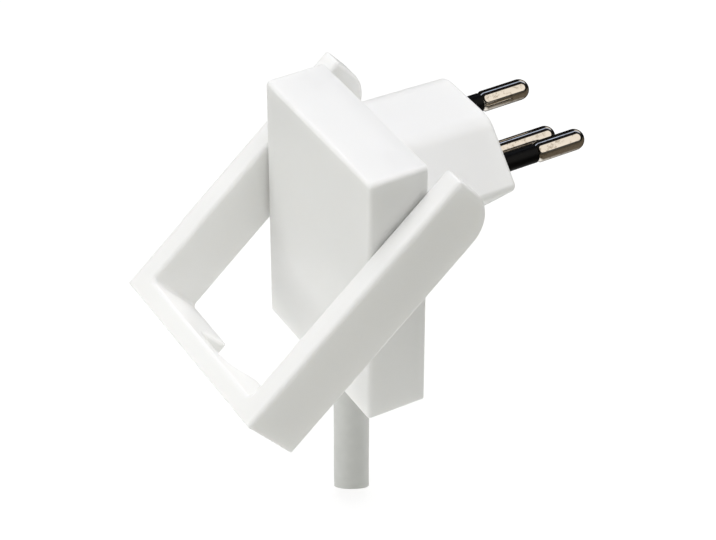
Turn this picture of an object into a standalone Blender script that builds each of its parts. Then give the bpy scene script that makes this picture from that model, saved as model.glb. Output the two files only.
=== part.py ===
"""Flat mains plug: hexagonal neck, three round pins and a U-shaped pull handle.

Units are metres. The origin is the middle of the neck's front face, between the two
outer pins. +X runs out along the pins, +Y to the left of someone who pushes the plug
into the wall, and +Z up. The cord leaves downwards. The handle is modelled folded flat
round the plug and then swung open about its pivot.
"""
import math

import bmesh
import bpy
from mathutils import Matrix, Vector

# Pins
PIN_SPACING = 0.0190
EARTH_DROP = 0.0050
PIN_RADIUS = 0.0020
PIN_REACH = 0.0190
SLEEVE_REACH = 0.0084
SLEEVE_WALL = 0.0005
SLEEVE_BELOW_PIN = 0.00018
PIN_SHOULDER_LENGTH = 0.0006
PIN_SHOULDER_HEIGHT = 0.00035
TERMINAL_RADIUS = 0.0025
WIRE_BORE_RADIUS = 0.00095
WIRE_BORE_DEPTH = 0.0078
CLAMPING_SETBACK = 0.0040

# Neck, measured on its front face to the sharp corners
NECK_LENGTH = 0.0200
NECK_BESIDE_PIN = 0.0080
NECK_SLOPE = math.radians(45)
NECK_DRAFT = math.radians(1.5)
NECK_SHOULDER_RADIUS = 0.0050
NECK_CREASE_RADIUS = 0.0013
NECK_EDGE_RADIUS = 0.0010
NECK_ROOT_RADIUS = 0.0003
NECK_WALL = 0.0016
NECK_FACE_WALL = 0.0030

# Flat body behind the neck
PLATE_BESIDE_NECK = 0.00155
PLATE_THICKNESS = 0.0119
PLATE_ABOVE_PINS = 0.01287
PLATE_BELOW_PINS = 0.04015
PLATE_CORNER_RADIUS = 0.0010
PLATE_REAR_RADIUS = 0.0009
PLATE_FOOT_RADIUS = 0.0006
PLATE_FRONT_RADIUS = 0.0003
COVER_WALL = 0.0018
COVER_RIM = 0.0009
FRONT_WALL = 0.0016

# Pull handle, folded
PIVOT_BELOW_PINS = 0.0051
PIVOT_BEHIND_NECK = 0.0058
ARM_THICKNESS = 0.00487
CROSSBAR_THICKNESS = 0.00345
CROSSBAR_GAP = 0.00055
ARM_GAP = 0.0003
ARM_BELOW_TOP = 0.00017
HANDLE_BEHIND_PIVOT = 0.0058
HANDLE_AHEAD_OF_PIVOT = 0.0065
HANDLE_CAM_RADIUS = 0.0076
HANDLE_EDGE_RADIUS = 0.0005
HANDLE_STEP_HEIGHT = 0.0003
HANDLE_STEP_FROM_CROSSBAR = 0.0119
HANDLE_INNER_RADIUS = 0.0008
OPEN_ANGLE = math.radians(48.6)
TRUNNION_RADIUS = 0.0027
TRUNNION_LENGTH = 0.0030
TRUNNION_LEAD = 0.0004
SOCKET_WALL = 0.0009
SOCKET_FLOOR = 0.0011

# Cord, its cores and its slot in the crossbar
CORD_RADIUS = 0.00345
CORD_BEHIND_NECK = 0.00475
CORD_TOP_ABOVE_CLAMP = 0.0075
CORD_BELOW_PLATE = 0.03435
CORD_KNOT_SPACING = 0.0170
CORE_RADIUS = 0.00125
CORE_SPREAD = 0.0016
CORE_STRAIGHT = 0.0025
CORE_BACK_SWEEP = 0.0070
CORE_UP_SWEEP = 0.0060
WIRE_RADIUS = 0.00065
SLOT_SIDE_ROOM = 0.0019
SLOT_BOTTOM_ROOM = 0.0002
SLOT_BOTTOM_RADIUS = 0.0035
SLOT_MOUTH_RADIUS = 0.0020

# Cord clamp
CLAMP_ABOVE_BOTTOM = 0.01065
CLAMP_WIDTH = 0.0070
CLAMP_EAR_THICKNESS = 0.0018
CLAMP_CROWN_WALL = 0.0008
CLAMP_RIB_HEIGHT = 0.0003
CLAMP_RIB_WIDTH = 0.0010
CLAMP_SCREW_SPACING = 0.0144
CLAMP_SCREW_RADIUS = 0.0011
CLAMP_HEAD_RADIUS = 0.0020
CLAMP_HEAD_HEIGHT = 0.0012
CLAMP_POST_HEIGHT = 0.0036

# Screws that hold the rear cover, and the hooks at its top
HOUSING_SCREW_RADIUS = 0.0013
HOUSING_SCREW_LENGTH = 0.0060
HOUSING_HEAD_RADIUS = 0.0025
HOUSING_HEAD_HEIGHT = 0.0015
HOUSING_SEAT_WALL = 0.0018
SCREW_BOSS_WALL = 0.0013
HOOK_WIDTH = 0.0050
HOOK_THICKNESS = 0.0012
HOOK_LENGTH = 0.0034
HOOK_CATCH = 0.0008

# Terminal screws
TERMINAL_SCREW_RADIUS = 0.00125
TERMINAL_HEAD_RADIUS = 0.0018
TERMINAL_HEAD_HEIGHT = 0.0012

# Carrier that holds the pins in the neck
CARRIER_WALL = 0.0004
CARRIER_REAR_WALL = 0.0022
CARRIER_SHORT_OF_NECK = 0.0005
HOLD_DOWN_SPACING = 0.0095
HOLD_DOWN_ABOVE_PINS = 0.0055
HOLD_DOWN_RADIUS = 0.0014

# Clearances
SEAT_GAP = 0.0003
FIT_GAP = 0.00015
RUNNING_GAP = 0.0003
PASS_GAP = 0.0002

# Screws: slots in metres, the rest as shares of the head's or shank's own size
SLOT_WIDTH = 0.0007
SLOT_DEPTH = 0.0006
HEAD_CROWN = 0.35
HEAD_FLAT = 0.7
SCREW_TIP = 0.7

# Facets, and how far a cutter reaches past what it cuts or stops short of a face
ROUND_SIDES = 28
SMALL_SIDES = 16
CORE_SIDES = 10
CORE_STEPS = 10
CORD_BEVEL_STEPS = 4
CORNER_STEPS = 4
EDGE_STEPS = 2
TIP_STEPS = 7
CAM_STEPS = 10
OVERCUT = 0.0010
SLIVER = 0.00002
SHARP_ANGLE = math.radians(35)
SOFTENED_ANGLE = math.radians(50)

# Planes and axes worked out from the sizes above
NECK_HALF_WIDTH = PIN_SPACING / 2 + NECK_BESIDE_PIN
NECK_HALF_HEIGHT = EARTH_DROP + TERMINAL_RADIUS + 2 * PASS_GAP + CARRIER_WALL + NECK_WALL
PLATE_WIDTH = 2 * (NECK_HALF_WIDTH + PLATE_BESIDE_NECK)
PLATE_FRONT = -NECK_LENGTH
PLATE_REAR = PLATE_FRONT - PLATE_THICKNESS
PIVOT_X = PLATE_FRONT - PIVOT_BEHIND_NECK
FRONT_WALL_INSIDE = PLATE_FRONT - FRONT_WALL
COVER_FLOOR = PLATE_REAR + COVER_WALL
CORD_X = PLATE_FRONT - CORD_BEHIND_NECK
CLAMP_Z = CLAMP_ABOVE_BOTTOM - PLATE_BELOW_PINS
CORD_TOP = CLAMP_Z + CORD_TOP_ABOVE_CLAMP
CORD_END = -PLATE_BELOW_PINS - CORD_BELOW_PLATE
CARRIER_FRONT = -NECK_FACE_WALL - SEAT_GAP
CARRIER_REAR = PLATE_FRONT + CARRIER_SHORT_OF_NECK
CARRIER_WEB = CARRIER_REAR + CARRIER_REAR_WALL
TERMINAL_FRONT = CARRIER_FRONT
TERMINAL_REAR = CARRIER_WEB + SEAT_GAP
CLAMPING_X = TERMINAL_REAR + CLAMPING_SETBACK
PIN_HOLE_RADIUS = PIN_RADIUS + FIT_GAP
SLEEVE_RADIUS = PIN_RADIUS - SLEEVE_BELOW_PIN
SCREW_SEAT = PLATE_FRONT - HOUSING_HEAD_HEIGHT - SEAT_GAP
SCREW_WELL_RADIUS = HOUSING_HEAD_RADIUS + SEAT_GAP
SCREW_SEAT_RADIUS = SCREW_WELL_RADIUS + SCREW_BOSS_WALL
HANDLE_INNER = PLATE_WIDTH / 2 + ARM_GAP
HANDLE_OUTER = HANDLE_INNER + ARM_THICKNESS
PIN_PLACES = {
    "live": Vector((0, PIN_SPACING / 2, 0)),
    "neutral": Vector((0, -PIN_SPACING / 2, 0)),
    "earth": Vector((0, 0, -EARTH_DROP)),
}


def clear_scene():
    for item in list(bpy.data.objects):
        bpy.data.objects.remove(item, do_unlink=True)


def material(name, colour, roughness, metallic=0.0):
    made = bpy.data.materials.new(name)
    made.use_nodes = True
    shader = made.node_tree.nodes["Principled BSDF"]
    shader.inputs["Base Color"].default_value = (*colour, 1.0)
    shader.inputs["Roughness"].default_value = roughness
    shader.inputs["Metallic"].default_value = metallic
    return made


# Outlines: flat lists of points, walked round once

def rounded_polygon(corners, radii, steps=CORNER_STEPS):
    """The polygon's corners, each replaced by an arc of its own radius."""
    points = []
    for i, corner in enumerate(corners):
        corner = Vector(corner)
        if radii[i] <= 0:
            points.append(corner)
            continue
        before = (Vector(corners[i - 1]) - corner).normalized()
        after = (Vector(corners[(i + 1) % len(corners)]) - corner).normalized()
        half = before.angle(after) / 2
        centre = corner + (before + after).normalized() * radii[i] / math.sin(half)
        start = corner + before * radii[i] / math.tan(half) - centre
        turn = math.copysign(math.pi - 2 * half, before.y * after.x - before.x * after.y)
        for step in range(steps + 1):
            points.append(centre + Matrix.Rotation(turn * step / steps, 2) @ start)
    return points


def rectangle(low_a, high_a, low_b, high_b, radius=0.0):
    corners = [(high_a, low_b), (high_a, high_b), (low_a, high_b), (low_a, low_b)]
    return rounded_polygon(corners, [radius] * 4)


def circle(radius, sides=ROUND_SIDES):
    angles = [2 * math.pi * (i + 0.5) / sides for i in range(sides)]
    return [Vector((radius * math.cos(a), radius * math.sin(a))) for a in angles]


def edge_inset(radius, depth):
    """How far a rounded edge draws the outline in, at a depth below the face."""
    short = max(radius - depth, 0)
    return radius - math.sqrt(radius ** 2 - short ** 2)


def plate_outline(inset, foot_inset):
    """The flat body's outline in Y and Z, drawn in by one inset, and by another at its foot."""
    half = PLATE_WIDTH / 2 - inset
    top = PLATE_ABOVE_PINS - inset
    foot = foot_inset - PLATE_BELOW_PINS
    head_radius = max(PLATE_CORNER_RADIUS - inset, FIT_GAP)
    foot_radius = max(PLATE_FOOT_RADIUS - inset, FIT_GAP)
    corners = [(half, foot), (half, top), (-half, top), (-half, foot)]
    return rounded_polygon(corners, [foot_radius, head_radius, head_radius, foot_radius])


def neck_outline(x, inset):
    """The neck's six-sided outline in Y and Z; draft widens it towards the plate."""
    inset += x * math.tan(NECK_DRAFT)
    height = NECK_HALF_HEIGHT - inset
    width = NECK_HALF_WIDTH - inset / math.sin(NECK_SLOPE)
    flat = width - height / math.tan(NECK_SLOPE)
    corners = [(width, 0), (flat, height), (-flat, height)]
    corners += [(-width, 0), (-flat, -height), (flat, -height)]
    crease = max(NECK_CREASE_RADIUS - inset, FIT_GAP)
    shoulder = max(NECK_SHOULDER_RADIUS - inset, FIT_GAP)
    return rounded_polygon(corners, [crease, shoulder, shoulder] * 2)


# Solids

def ring(outline, axis, place, centre=(0, 0)):
    """An outline stood at a place along X, Y or Z, as a list of points in space."""
    a, b = centre
    if axis == "X":
        return [Vector((place, a + p.x, b + p.y)) for p in outline]
    if axis == "Y":
        return [Vector((a + p.x, place, b + p.y)) for p in outline]
    return [Vector((a + p.x, b + p.y, place)) for p in outline]


def loft(name, rings, closed=False):
    """A solid skinned through rings of equal count; closed joins the last to the first."""
    mesh = bmesh.new()
    rows = [[mesh.verts.new(point) for point in points] for points in rings]
    count = len(rows[0])
    pairs = list(zip(rows, rows[1:]))
    if closed:
        pairs.append((rows[-1], rows[0]))
    else:
        mesh.faces.new(rows[0])
        mesh.faces.new(rows[-1])
    for first, second in pairs:
        for i in range(count):
            j = (i + 1) % count
            mesh.faces.new((first[i], first[j], second[j], second[i]))
    bmesh.ops.recalc_face_normals(mesh, faces=mesh.faces)
    data = bpy.data.meshes.new(name)
    mesh.to_mesh(data)
    mesh.free()
    solid = bpy.data.objects.new(name, data)
    bpy.context.scene.collection.objects.link(solid)
    return solid


def prism(outline, axis, start, end, name="tool"):
    return loft(name, [ring(outline, axis, start), ring(outline, axis, end)])


def box(x, y, z, name="tool"):
    return prism(rectangle(*y, *z), "X", x[0], x[1], name)


def turned(profile, axis, centre=(0, 0), sides=ROUND_SIDES, closed=False, name="tool"):
    """A round solid from (place along the axis, radius) pairs."""
    rings = [ring(circle(radius, sides), axis, place, centre) for place, radius in profile]
    return loft(name, rings, closed)


def combine(target, tools, operation):
    """Adds one Boolean modifier for each tool, and hides the tool."""
    for tool in tools:
        change = target.modifiers.new(operation.title(), "BOOLEAN")
        change.operation = operation
        change.object = tool
        change.solver = "EXACT"
        tool.hide_render = True
        tool.display_type = "WIRE"


def settled(target):
    """Applies the target's modifiers and removes the tools that they used."""
    tools = {m.object for m in target.modifiers if m.type == "BOOLEAN"}
    scene_state = bpy.context.evaluated_depsgraph_get()
    finished = bpy.data.meshes.new_from_object(target.evaluated_get(scene_state))
    target.modifiers.clear()
    target.data = finished
    for tool in tools:
        bpy.data.objects.remove(tool, do_unlink=True)
    return target


def place(piece, name, finish, carrier, location=(0, 0, 0), turn=(0, 0, 0)):
    """Names a piece, gives it its material and hangs it on its carrier."""
    piece.name = name
    piece.parent = carrier
    piece.location = location
    piece.rotation_euler = turn
    piece.data.materials.clear()
    piece.data.materials.append(finish)
    if piece.type == "MESH":
        piece.data.shade_smooth()
        piece.data.set_sharp_from_angle(angle=SHARP_ANGLE)
    return piece


def copy_of(piece):
    twin = bpy.data.objects.new(piece.name, piece.data)
    bpy.context.scene.collection.objects.link(twin)
    return twin


# Front housing: neck, pin holes, front wall, clamp posts and hooks

def neck_solid():
    rings = []
    for step in range(CORNER_STEPS + 1):
        angle = math.pi / 2 * (1 - step / CORNER_STEPS)
        x = NECK_EDGE_RADIUS * (math.sin(angle) - 1)
        inset = NECK_EDGE_RADIUS * (1 - math.cos(angle))
        rings.append(ring(neck_outline(x, inset), "X", x))
    for step in range(CORNER_STEPS + 1):
        angle = math.pi / 2 * step / CORNER_STEPS
        x = PLATE_FRONT + NECK_ROOT_RADIUS * (1 - math.sin(angle))
        inset = -NECK_ROOT_RADIUS * (1 - math.cos(angle))
        rings.append(ring(neck_outline(x, inset), "X", x))
    x = PLATE_FRONT - FRONT_WALL / 2
    rings.append(ring(neck_outline(x, 0), "X", x))
    return loft("tool", rings)


def neck_cavity(front, rear, inset):
    return loft("tool", [ring(neck_outline(x, inset), "X", x) for x in (front, rear)])


def housing_screw_places():
    """The screws sit in the flat body's two lower corners."""
    from_edge = COVER_WALL + SEAT_GAP + SCREW_SEAT_RADIUS
    y = PLATE_WIDTH / 2 - from_edge
    return [(side * y, from_edge - PLATE_BELOW_PINS) for side in (1, -1)]


def clamp_screw_places():
    return [(side * CLAMP_SCREW_SPACING / 2, CLAMP_Z) for side in (1, -1)]


def hook_tools(grow):
    """The two hooks' catches at the top of the front wall, or their pockets."""
    top = PLATE_ABOVE_PINS - COVER_WALL - SEAT_GAP
    tip = FRONT_WALL_INSIDE - HOOK_LENGTH
    tools = []
    for side in (1, -1):
        middle = side * (PLATE_WIDTH / 2 - COVER_WALL - SEAT_GAP - HOOK_WIDTH / 2)
        across = (middle - HOOK_WIDTH / 2 - grow, middle + HOOK_WIDTH / 2 + grow)
        along = (tip - grow, tip + HOOK_THICKNESS + grow)
        upright = (top - HOOK_THICKNESS / 2, top + HOOK_CATCH + grow)
        tools.append(box(along, across, upright))
        if grow == 0:
            along = (tip, FRONT_WALL_INSIDE + FRONT_WALL / 2)
            tools.append(box(along, across, (top - HOOK_THICKNESS, top)))
    return tools


def make_front_housing():
    rim = COVER_RIM + FIT_GAP
    housing = prism(plate_outline(rim, rim), "X", FRONT_WALL_INSIDE, PLATE_FRONT, "front_housing")
    additions = [neck_solid()]
    cuts = [neck_cavity(-NECK_FACE_WALL, FRONT_WALL_INSIDE - OVERCUT, NECK_WALL)]
    for spot in PIN_PLACES.values():
        hole = [(-NECK_FACE_WALL - OVERCUT, PIN_HOLE_RADIUS), (OVERCUT, PIN_HOLE_RADIUS)]
        cuts.append(turned(hole, "X", (spot.y, spot.z)))

    under = SCREW_SEAT - HOUSING_SEAT_WALL
    for spot in housing_screw_places():
        boss = [(under, SCREW_SEAT_RADIUS), (PLATE_FRONT - FRONT_WALL / 2, SCREW_SEAT_RADIUS)]
        additions.append(turned(boss, "X", spot))
        bore = HOUSING_SCREW_RADIUS + PASS_GAP
        stepped = [(under - OVERCUT, bore), (SCREW_SEAT, bore)]
        stepped += [(SCREW_SEAT, SCREW_WELL_RADIUS), (PLATE_FRONT + OVERCUT, SCREW_WELL_RADIUS)]
        cuts.append(turned(stepped, "X", spot))

    top = FRONT_WALL_INSIDE - CLAMP_POST_HEIGHT
    for spot in clamp_screw_places():
        outer = CLAMP_SCREW_RADIUS + SCREW_BOSS_WALL
        post = [(top, outer), (FRONT_WALL_INSIDE + FRONT_WALL / 2, outer)]
        additions.append(turned(post, "X", spot, SMALL_SIDES))
        bore = CLAMP_SCREW_RADIUS + FIT_GAP
        pilot = [(top - OVERCUT, bore), (FRONT_WALL_INSIDE - SEAT_GAP, bore)]
        cuts.append(turned(pilot, "X", spot, SMALL_SIDES))

    groove = CORD_RADIUS + FIT_GAP
    ends = (-PLATE_BELOW_PINS - OVERCUT, CORD_TOP + SEAT_GAP)
    cuts.append(turned([(z, groove) for z in ends], "Z", (CORD_X, 0)))
    combine(housing, additions + hook_tools(0), "UNION")
    combine(housing, cuts, "DIFFERENCE")
    return settled(housing)


# Rear cover: an open tray with pivot sockets, screw bosses and hold-down posts

def cover_shell():
    rings = []
    for step in range(EDGE_STEPS + 1):
        angle = math.pi / 2 * (1 - step / EDGE_STEPS)
        depth = PLATE_FRONT_RADIUS * (1 - math.sin(angle))
        inset = edge_inset(PLATE_FRONT_RADIUS, depth)
        rings.append(ring(plate_outline(inset, inset), "X", PLATE_FRONT - depth))
    for step in range(CORNER_STEPS + 1):
        angle = math.pi / 2 * step / CORNER_STEPS
        depth = PLATE_REAR_RADIUS * (1 - math.sin(angle))
        insets = [edge_inset(radius, depth) for radius in (PLATE_REAR_RADIUS, PLATE_FOOT_RADIUS)]
        rings.append(ring(plate_outline(*insets), "X", PLATE_REAR + depth))
    return loft("rear_cover", rings)


def make_rear_cover():
    cover = cover_shell()
    hollow = plate_outline(COVER_WALL, COVER_WALL)
    recess = plate_outline(COVER_RIM, COVER_RIM)
    ledge = FRONT_WALL_INSIDE - FIT_GAP
    cuts = [prism(hollow, "X", COVER_FLOOR, PLATE_FRONT + OVERCUT)]
    cuts.append(prism(recess, "X", ledge, PLATE_FRONT + OVERCUT))
    combine(cover, cuts, "DIFFERENCE")

    additions = []
    bores = hook_tools(SEAT_GAP)
    pivot = (PIVOT_X, -PIVOT_BELOW_PINS)
    bore_radius = TRUNNION_RADIUS + RUNNING_GAP
    bottom = HANDLE_INNER - TRUNNION_LENGTH - SEAT_GAP
    for side in (1, -1):
        outside = bore_radius + SOCKET_WALL
        places = (side * (bottom - SOCKET_FLOOR), side * (PLATE_WIDTH / 2 - COVER_WALL / 2))
        additions.append(turned([(y, outside) for y in places], "Y", pivot))
        places = (side * bottom, side * (PLATE_WIDTH / 2 + OVERCUT))
        bores.append(turned([(y, bore_radius) for y in places], "Y", pivot))

    top = SCREW_SEAT - HOUSING_SEAT_WALL - SEAT_GAP
    for spot in housing_screw_places():
        bore = HOUSING_SCREW_RADIUS + FIT_GAP
        boss = [(COVER_FLOOR - COVER_WALL / 2, bore + SCREW_BOSS_WALL)]
        boss.append((top, bore + SCREW_BOSS_WALL))
        additions.append(turned(boss, "X", spot, SMALL_SIDES))
        pilot = [(COVER_FLOOR - SEAT_GAP, bore), (top + OVERCUT, bore)]
        bores.append(turned(pilot, "X", spot, SMALL_SIDES))

    for side in (1, -1):
        spot = (side * HOLD_DOWN_SPACING / 2, HOLD_DOWN_ABOVE_PINS)
        post = [(COVER_FLOOR - COVER_WALL / 2, HOLD_DOWN_RADIUS)]
        post.append((CARRIER_REAR - SEAT_GAP, HOLD_DOWN_RADIUS))
        additions.append(turned(post, "X", spot, SMALL_SIDES))

    entry = CORD_RADIUS + FIT_GAP
    ends = (-PLATE_BELOW_PINS - OVERCUT, -PLATE_BELOW_PINS + COVER_WALL + OVERCUT)
    bores.append(turned([(z, entry) for z in ends], "Z", (CORD_X, 0)))
    combine(cover, additions, "UNION")
    combine(cover, bores, "DIFFERENCE")
    return settled(cover)


# Pin carrier: the insulating block inside the neck, with a channel for each terminal

def make_pin_carrier():
    inset = NECK_WALL + PASS_GAP
    carrier = neck_cavity(CARRIER_FRONT, CARRIER_REAR, inset)
    cuts = []
    for spot in PIN_PLACES.values():
        channel = TERMINAL_RADIUS + PASS_GAP
        passage = CORE_RADIUS + PASS_GAP
        stepped = [(CARRIER_REAR - OVERCUT, passage), (CARRIER_WEB, passage)]
        stepped += [(CARRIER_WEB, channel), (CARRIER_FRONT + OVERCUT, channel)]
        cuts.append(turned(stepped, "X", (spot.y, spot.z)))
        window = TERMINAL_HEAD_RADIUS + SEAT_GAP
        ends = (spot.z, NECK_HALF_HEIGHT + OVERCUT)
        cuts.append(turned([(z, window) for z in ends], "Z", (CLAMPING_X, spot.y), SMALL_SIDES))
    combine(carrier, cuts, "DIFFERENCE")
    return settled(carrier)


# Pins, sleeves and terminal screws; each pin is turned about its own axis

def make_pin(sleeved):
    edge = FIT_GAP
    profile = [(TERMINAL_REAR, TERMINAL_RADIUS - edge), (TERMINAL_REAR + edge, TERMINAL_RADIUS)]
    profile.append((TERMINAL_FRONT, TERMINAL_RADIUS))
    if sleeved:
        core = SLEEVE_RADIUS - SLEEVE_WALL - FIT_GAP
        shoulder = SLEEVE_REACH + FIT_GAP
        profile += [(TERMINAL_FRONT, core), (shoulder, core)]
        profile.append((shoulder, PIN_RADIUS - PIN_SHOULDER_HEIGHT))
        profile.append((shoulder + PIN_SHOULDER_LENGTH, PIN_RADIUS))
    else:
        profile.append((TERMINAL_FRONT, PIN_RADIUS))
    for step in range(TIP_STEPS):
        angle = math.pi / 2 * step / TIP_STEPS
        x = PIN_REACH - PIN_RADIUS * (1 - math.sin(angle))
        profile.append((x, PIN_RADIUS * math.cos(angle)))
    pin = turned(profile, "X", name="pin")
    bore = [(TERMINAL_REAR - OVERCUT, WIRE_BORE_RADIUS)]
    bore.append((TERMINAL_REAR + WIRE_BORE_DEPTH, WIRE_BORE_RADIUS))
    thread = [(0, TERMINAL_SCREW_RADIUS + FIT_GAP)]
    thread.append((TERMINAL_RADIUS + OVERCUT, TERMINAL_SCREW_RADIUS + FIT_GAP))
    cuts = [turned(bore, "X", sides=SMALL_SIDES)]
    cuts.append(turned(thread, "Z", (CLAMPING_X, 0), SMALL_SIDES))
    combine(pin, cuts, "DIFFERENCE")
    return settled(pin)


def make_sleeve():
    inner = SLEEVE_RADIUS - SLEEVE_WALL
    rear = TERMINAL_FRONT + SEAT_GAP
    profile = [(rear, inner), (rear, SLEEVE_RADIUS)]
    profile += [(SLEEVE_REACH, SLEEVE_RADIUS), (SLEEVE_REACH, inner)]
    return turned(profile, "X", closed=True, name="sleeve")


def make_screw(shank_radius, shank_length, head_radius, head_height):
    """A slotted screw along Z, its head above the origin and its shank below."""
    tip = shank_radius * SCREW_TIP
    profile = [(-shank_length, tip), (-shank_length + shank_radius - tip, shank_radius)]
    profile += [(0, shank_radius), (0, head_radius)]
    for step in range(EDGE_STEPS + 1):
        angle = math.pi / 2 * step / EDGE_STEPS
        z = head_height * (1 - HEAD_CROWN * (1 - math.sin(angle)))
        profile.append((z, head_radius * (HEAD_FLAT + (1 - HEAD_FLAT) * math.cos(angle))))
    screw = turned(profile, "Z", sides=SMALL_SIDES, name="screw")
    reach = head_radius + OVERCUT
    across = (-SLOT_WIDTH / 2, SLOT_WIDTH / 2)
    slot = box((-reach, reach), across, (head_height - SLOT_DEPTH, head_height + OVERCUT))
    combine(screw, [slot], "DIFFERENCE")
    return settled(screw)


# Cord, cores and conductors

def bent_route(start, start_pull, end_pull, end):
    """A cubic curve from start to end, leaving and arriving along the two pulls."""
    knots = [start, start + start_pull, end + end_pull, end]
    route = []
    for step in range(CORE_STEPS + 1):
        t = step / CORE_STEPS
        weights = [(1 - t) ** 3, 3 * t * (1 - t) ** 2, 3 * t * t * (1 - t), t ** 3]
        route.append(sum((knot * w for knot, w in zip(knots, weights)), Vector()))
    return route


def swept_rings(route, radius, sides):
    """Circles square to a route, turned as little as possible from one to the next."""
    rings = []
    side = Vector((0, 1, 0))
    for i, spot in enumerate(route):
        ahead = route[min(i + 1, len(route) - 1)] - route[max(i - 1, 0)]
        ahead.normalize()
        side = (side - ahead * side.dot(ahead)).normalized()
        other = ahead.cross(side)
        rings.append([spot + side * p.x + other * p.y for p in circle(radius, sides)])
    return rings


def core_route(pin, angle):
    """From a terminal's rear, back through the carrier and down to the cord's end."""
    spot = PIN_PLACES[pin]
    low = CORD_TOP + SEAT_GAP
    end = Vector((CORD_X + CORE_SPREAD * math.cos(angle), CORE_SPREAD * math.sin(angle), low))
    start = Vector((CARRIER_WEB, spot.y, spot.z))
    behind = Vector((CARRIER_REAR, spot.y, spot.z))
    above = end + Vector((0, 0, CORE_STRAIGHT))
    back = Vector((-CORE_BACK_SWEEP, 0, 0))
    up = Vector((0, 0, CORE_UP_SWEEP))
    return [start] + bent_route(behind, back, up, above) + [end]


def make_core(route):
    """The insulation round a conductor, as a tube."""
    outer = swept_rings(route, CORE_RADIUS, CORE_SIDES)
    inner = swept_rings(route, WIRE_RADIUS + FIT_GAP, CORE_SIDES)
    return loft("core", outer + inner[::-1], closed=True)


def make_wire(route, reach):
    """The bare conductor, from inside its terminal to the cord's end."""
    return loft("wire", swept_rings([Vector(reach)] + route, WIRE_RADIUS, CORE_SIDES))


def make_cord():
    """The sheath, hanging straight down from the clamp to its cut end."""
    curve = bpy.data.curves.new("cord_sheath", "CURVE")
    curve.dimensions = "3D"
    curve.bevel_depth = CORD_RADIUS
    curve.bevel_resolution = CORD_BEVEL_STEPS
    curve.use_fill_caps = True
    spline = curve.splines.new("POLY")
    runs = round((CORD_TOP - CORD_END) / CORD_KNOT_SPACING)
    spline.points.add(runs)
    for i, knot in enumerate(spline.points):
        knot.co = (CORD_X, 0, CORD_TOP + (CORD_END - CORD_TOP) * i / runs, 1)
    cord = bpy.data.objects.new("cord_sheath", curve)
    bpy.context.scene.collection.objects.link(cord)
    return cord


# Cord clamp: a saddle that presses the cord against the front wall

def make_cord_clamp():
    seat = FRONT_WALL_INSIDE - CLAMP_POST_HEIGHT - SEAT_GAP
    back = seat - CLAMP_EAR_THICKNESS
    half = CLAMP_SCREW_SPACING / 2 + CLAMP_HEAD_RADIUS + FIT_GAP
    groove = CORD_RADIUS + PASS_GAP
    crown = groove + CLAMP_RIB_HEIGHT + CLAMP_CROWN_WALL
    z = (CLAMP_Z - CLAMP_WIDTH / 2, CLAMP_Z + CLAMP_WIDTH / 2)
    clamp = box((back, seat), (-half, half), z, "cord_clamp")
    arch = turned([(place, crown) for place in z], "Z", (CORD_X, 0))
    upright = (z[0] - OVERCUT, z[1] + OVERCUT)
    keep = box((CORD_X - 2 * crown, seat), (-2 * crown, 2 * crown), upright)
    combine(arch, [keep], "INTERSECT")
    combine(clamp, [settled(arch)], "UNION")

    relief = groove + CLAMP_RIB_HEIGHT
    pitch = (CLAMP_WIDTH - CLAMP_RIB_WIDTH) / 2
    channel = [(z[0] - OVERCUT, groove)]
    for rib in range(2):
        low = z[0] + CLAMP_RIB_WIDTH + rib * pitch
        high = low + pitch - CLAMP_RIB_WIDTH
        channel += [(low, groove), (low, relief), (high, relief), (high, groove)]
    channel.append((z[1] + OVERCUT, groove))
    cuts = [turned(channel, "Z", (CORD_X, 0))]
    for spot in clamp_screw_places():
        bore = CLAMP_SCREW_RADIUS + FIT_GAP
        ends = (back - OVERCUT, seat + OVERCUT)
        cuts.append(turned([(x, bore) for x in ends], "X", spot, SMALL_SIDES))
    combine(clamp, cuts, "DIFFERENCE")
    return settled(clamp)


# Pull handle, drawn folded with its pivot at the origin

def handle_side_outline():
    """The arm seen from the side, in X and Z: square at the rear, a cam at the front."""
    rear = -HANDLE_BEHIND_PIVOT
    front = HANDLE_AHEAD_OF_PIVOT
    tip = PLATE_ABOVE_PINS + PIVOT_BELOW_PINS - ARM_BELOW_TOP
    inside = PIVOT_BELOW_PINS - PLATE_BELOW_PINS - CROSSBAR_GAP
    bottom = inside - CROSSBAR_THICKNESS
    step = inside + HANDLE_STEP_FROM_CROSSBAR
    corners = [(front, bottom), (front, tip), (rear, tip), (rear, step)]
    corners += [(rear + HANDLE_STEP_HEIGHT, step), (rear + HANDLE_STEP_HEIGHT, bottom)]
    return rounded_polygon(corners, [0, HANDLE_CAM_RADIUS, 0, 0, 0, 0], CAM_STEPS)


def cord_slot_tool(front, bottom, inside):
    """The slot that lets the folded crossbar close over the cord."""
    slot_end = CORD_X - CORD_RADIUS - SLOT_BOTTOM_ROOM - PIVOT_X
    half = CORD_RADIUS + SLOT_SIDE_ROOM
    mouth = front + SLIVER
    wide = half + 2 * SLOT_MOUTH_RADIUS
    corners = [(mouth + OVERCUT, -wide), (mouth + OVERCUT, wide), (mouth, wide), (mouth, half)]
    corners += [(slot_end, half), (slot_end, -half), (mouth, -half), (mouth, -wide)]
    radii = [0, 0, 0, SLOT_MOUTH_RADIUS, SLOT_BOTTOM_RADIUS]
    radii += [SLOT_BOTTOM_RADIUS, SLOT_MOUTH_RADIUS, 0]
    return prism(rounded_polygon(corners, radii), "Z", bottom - OVERCUT, inside + OVERCUT)


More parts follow.
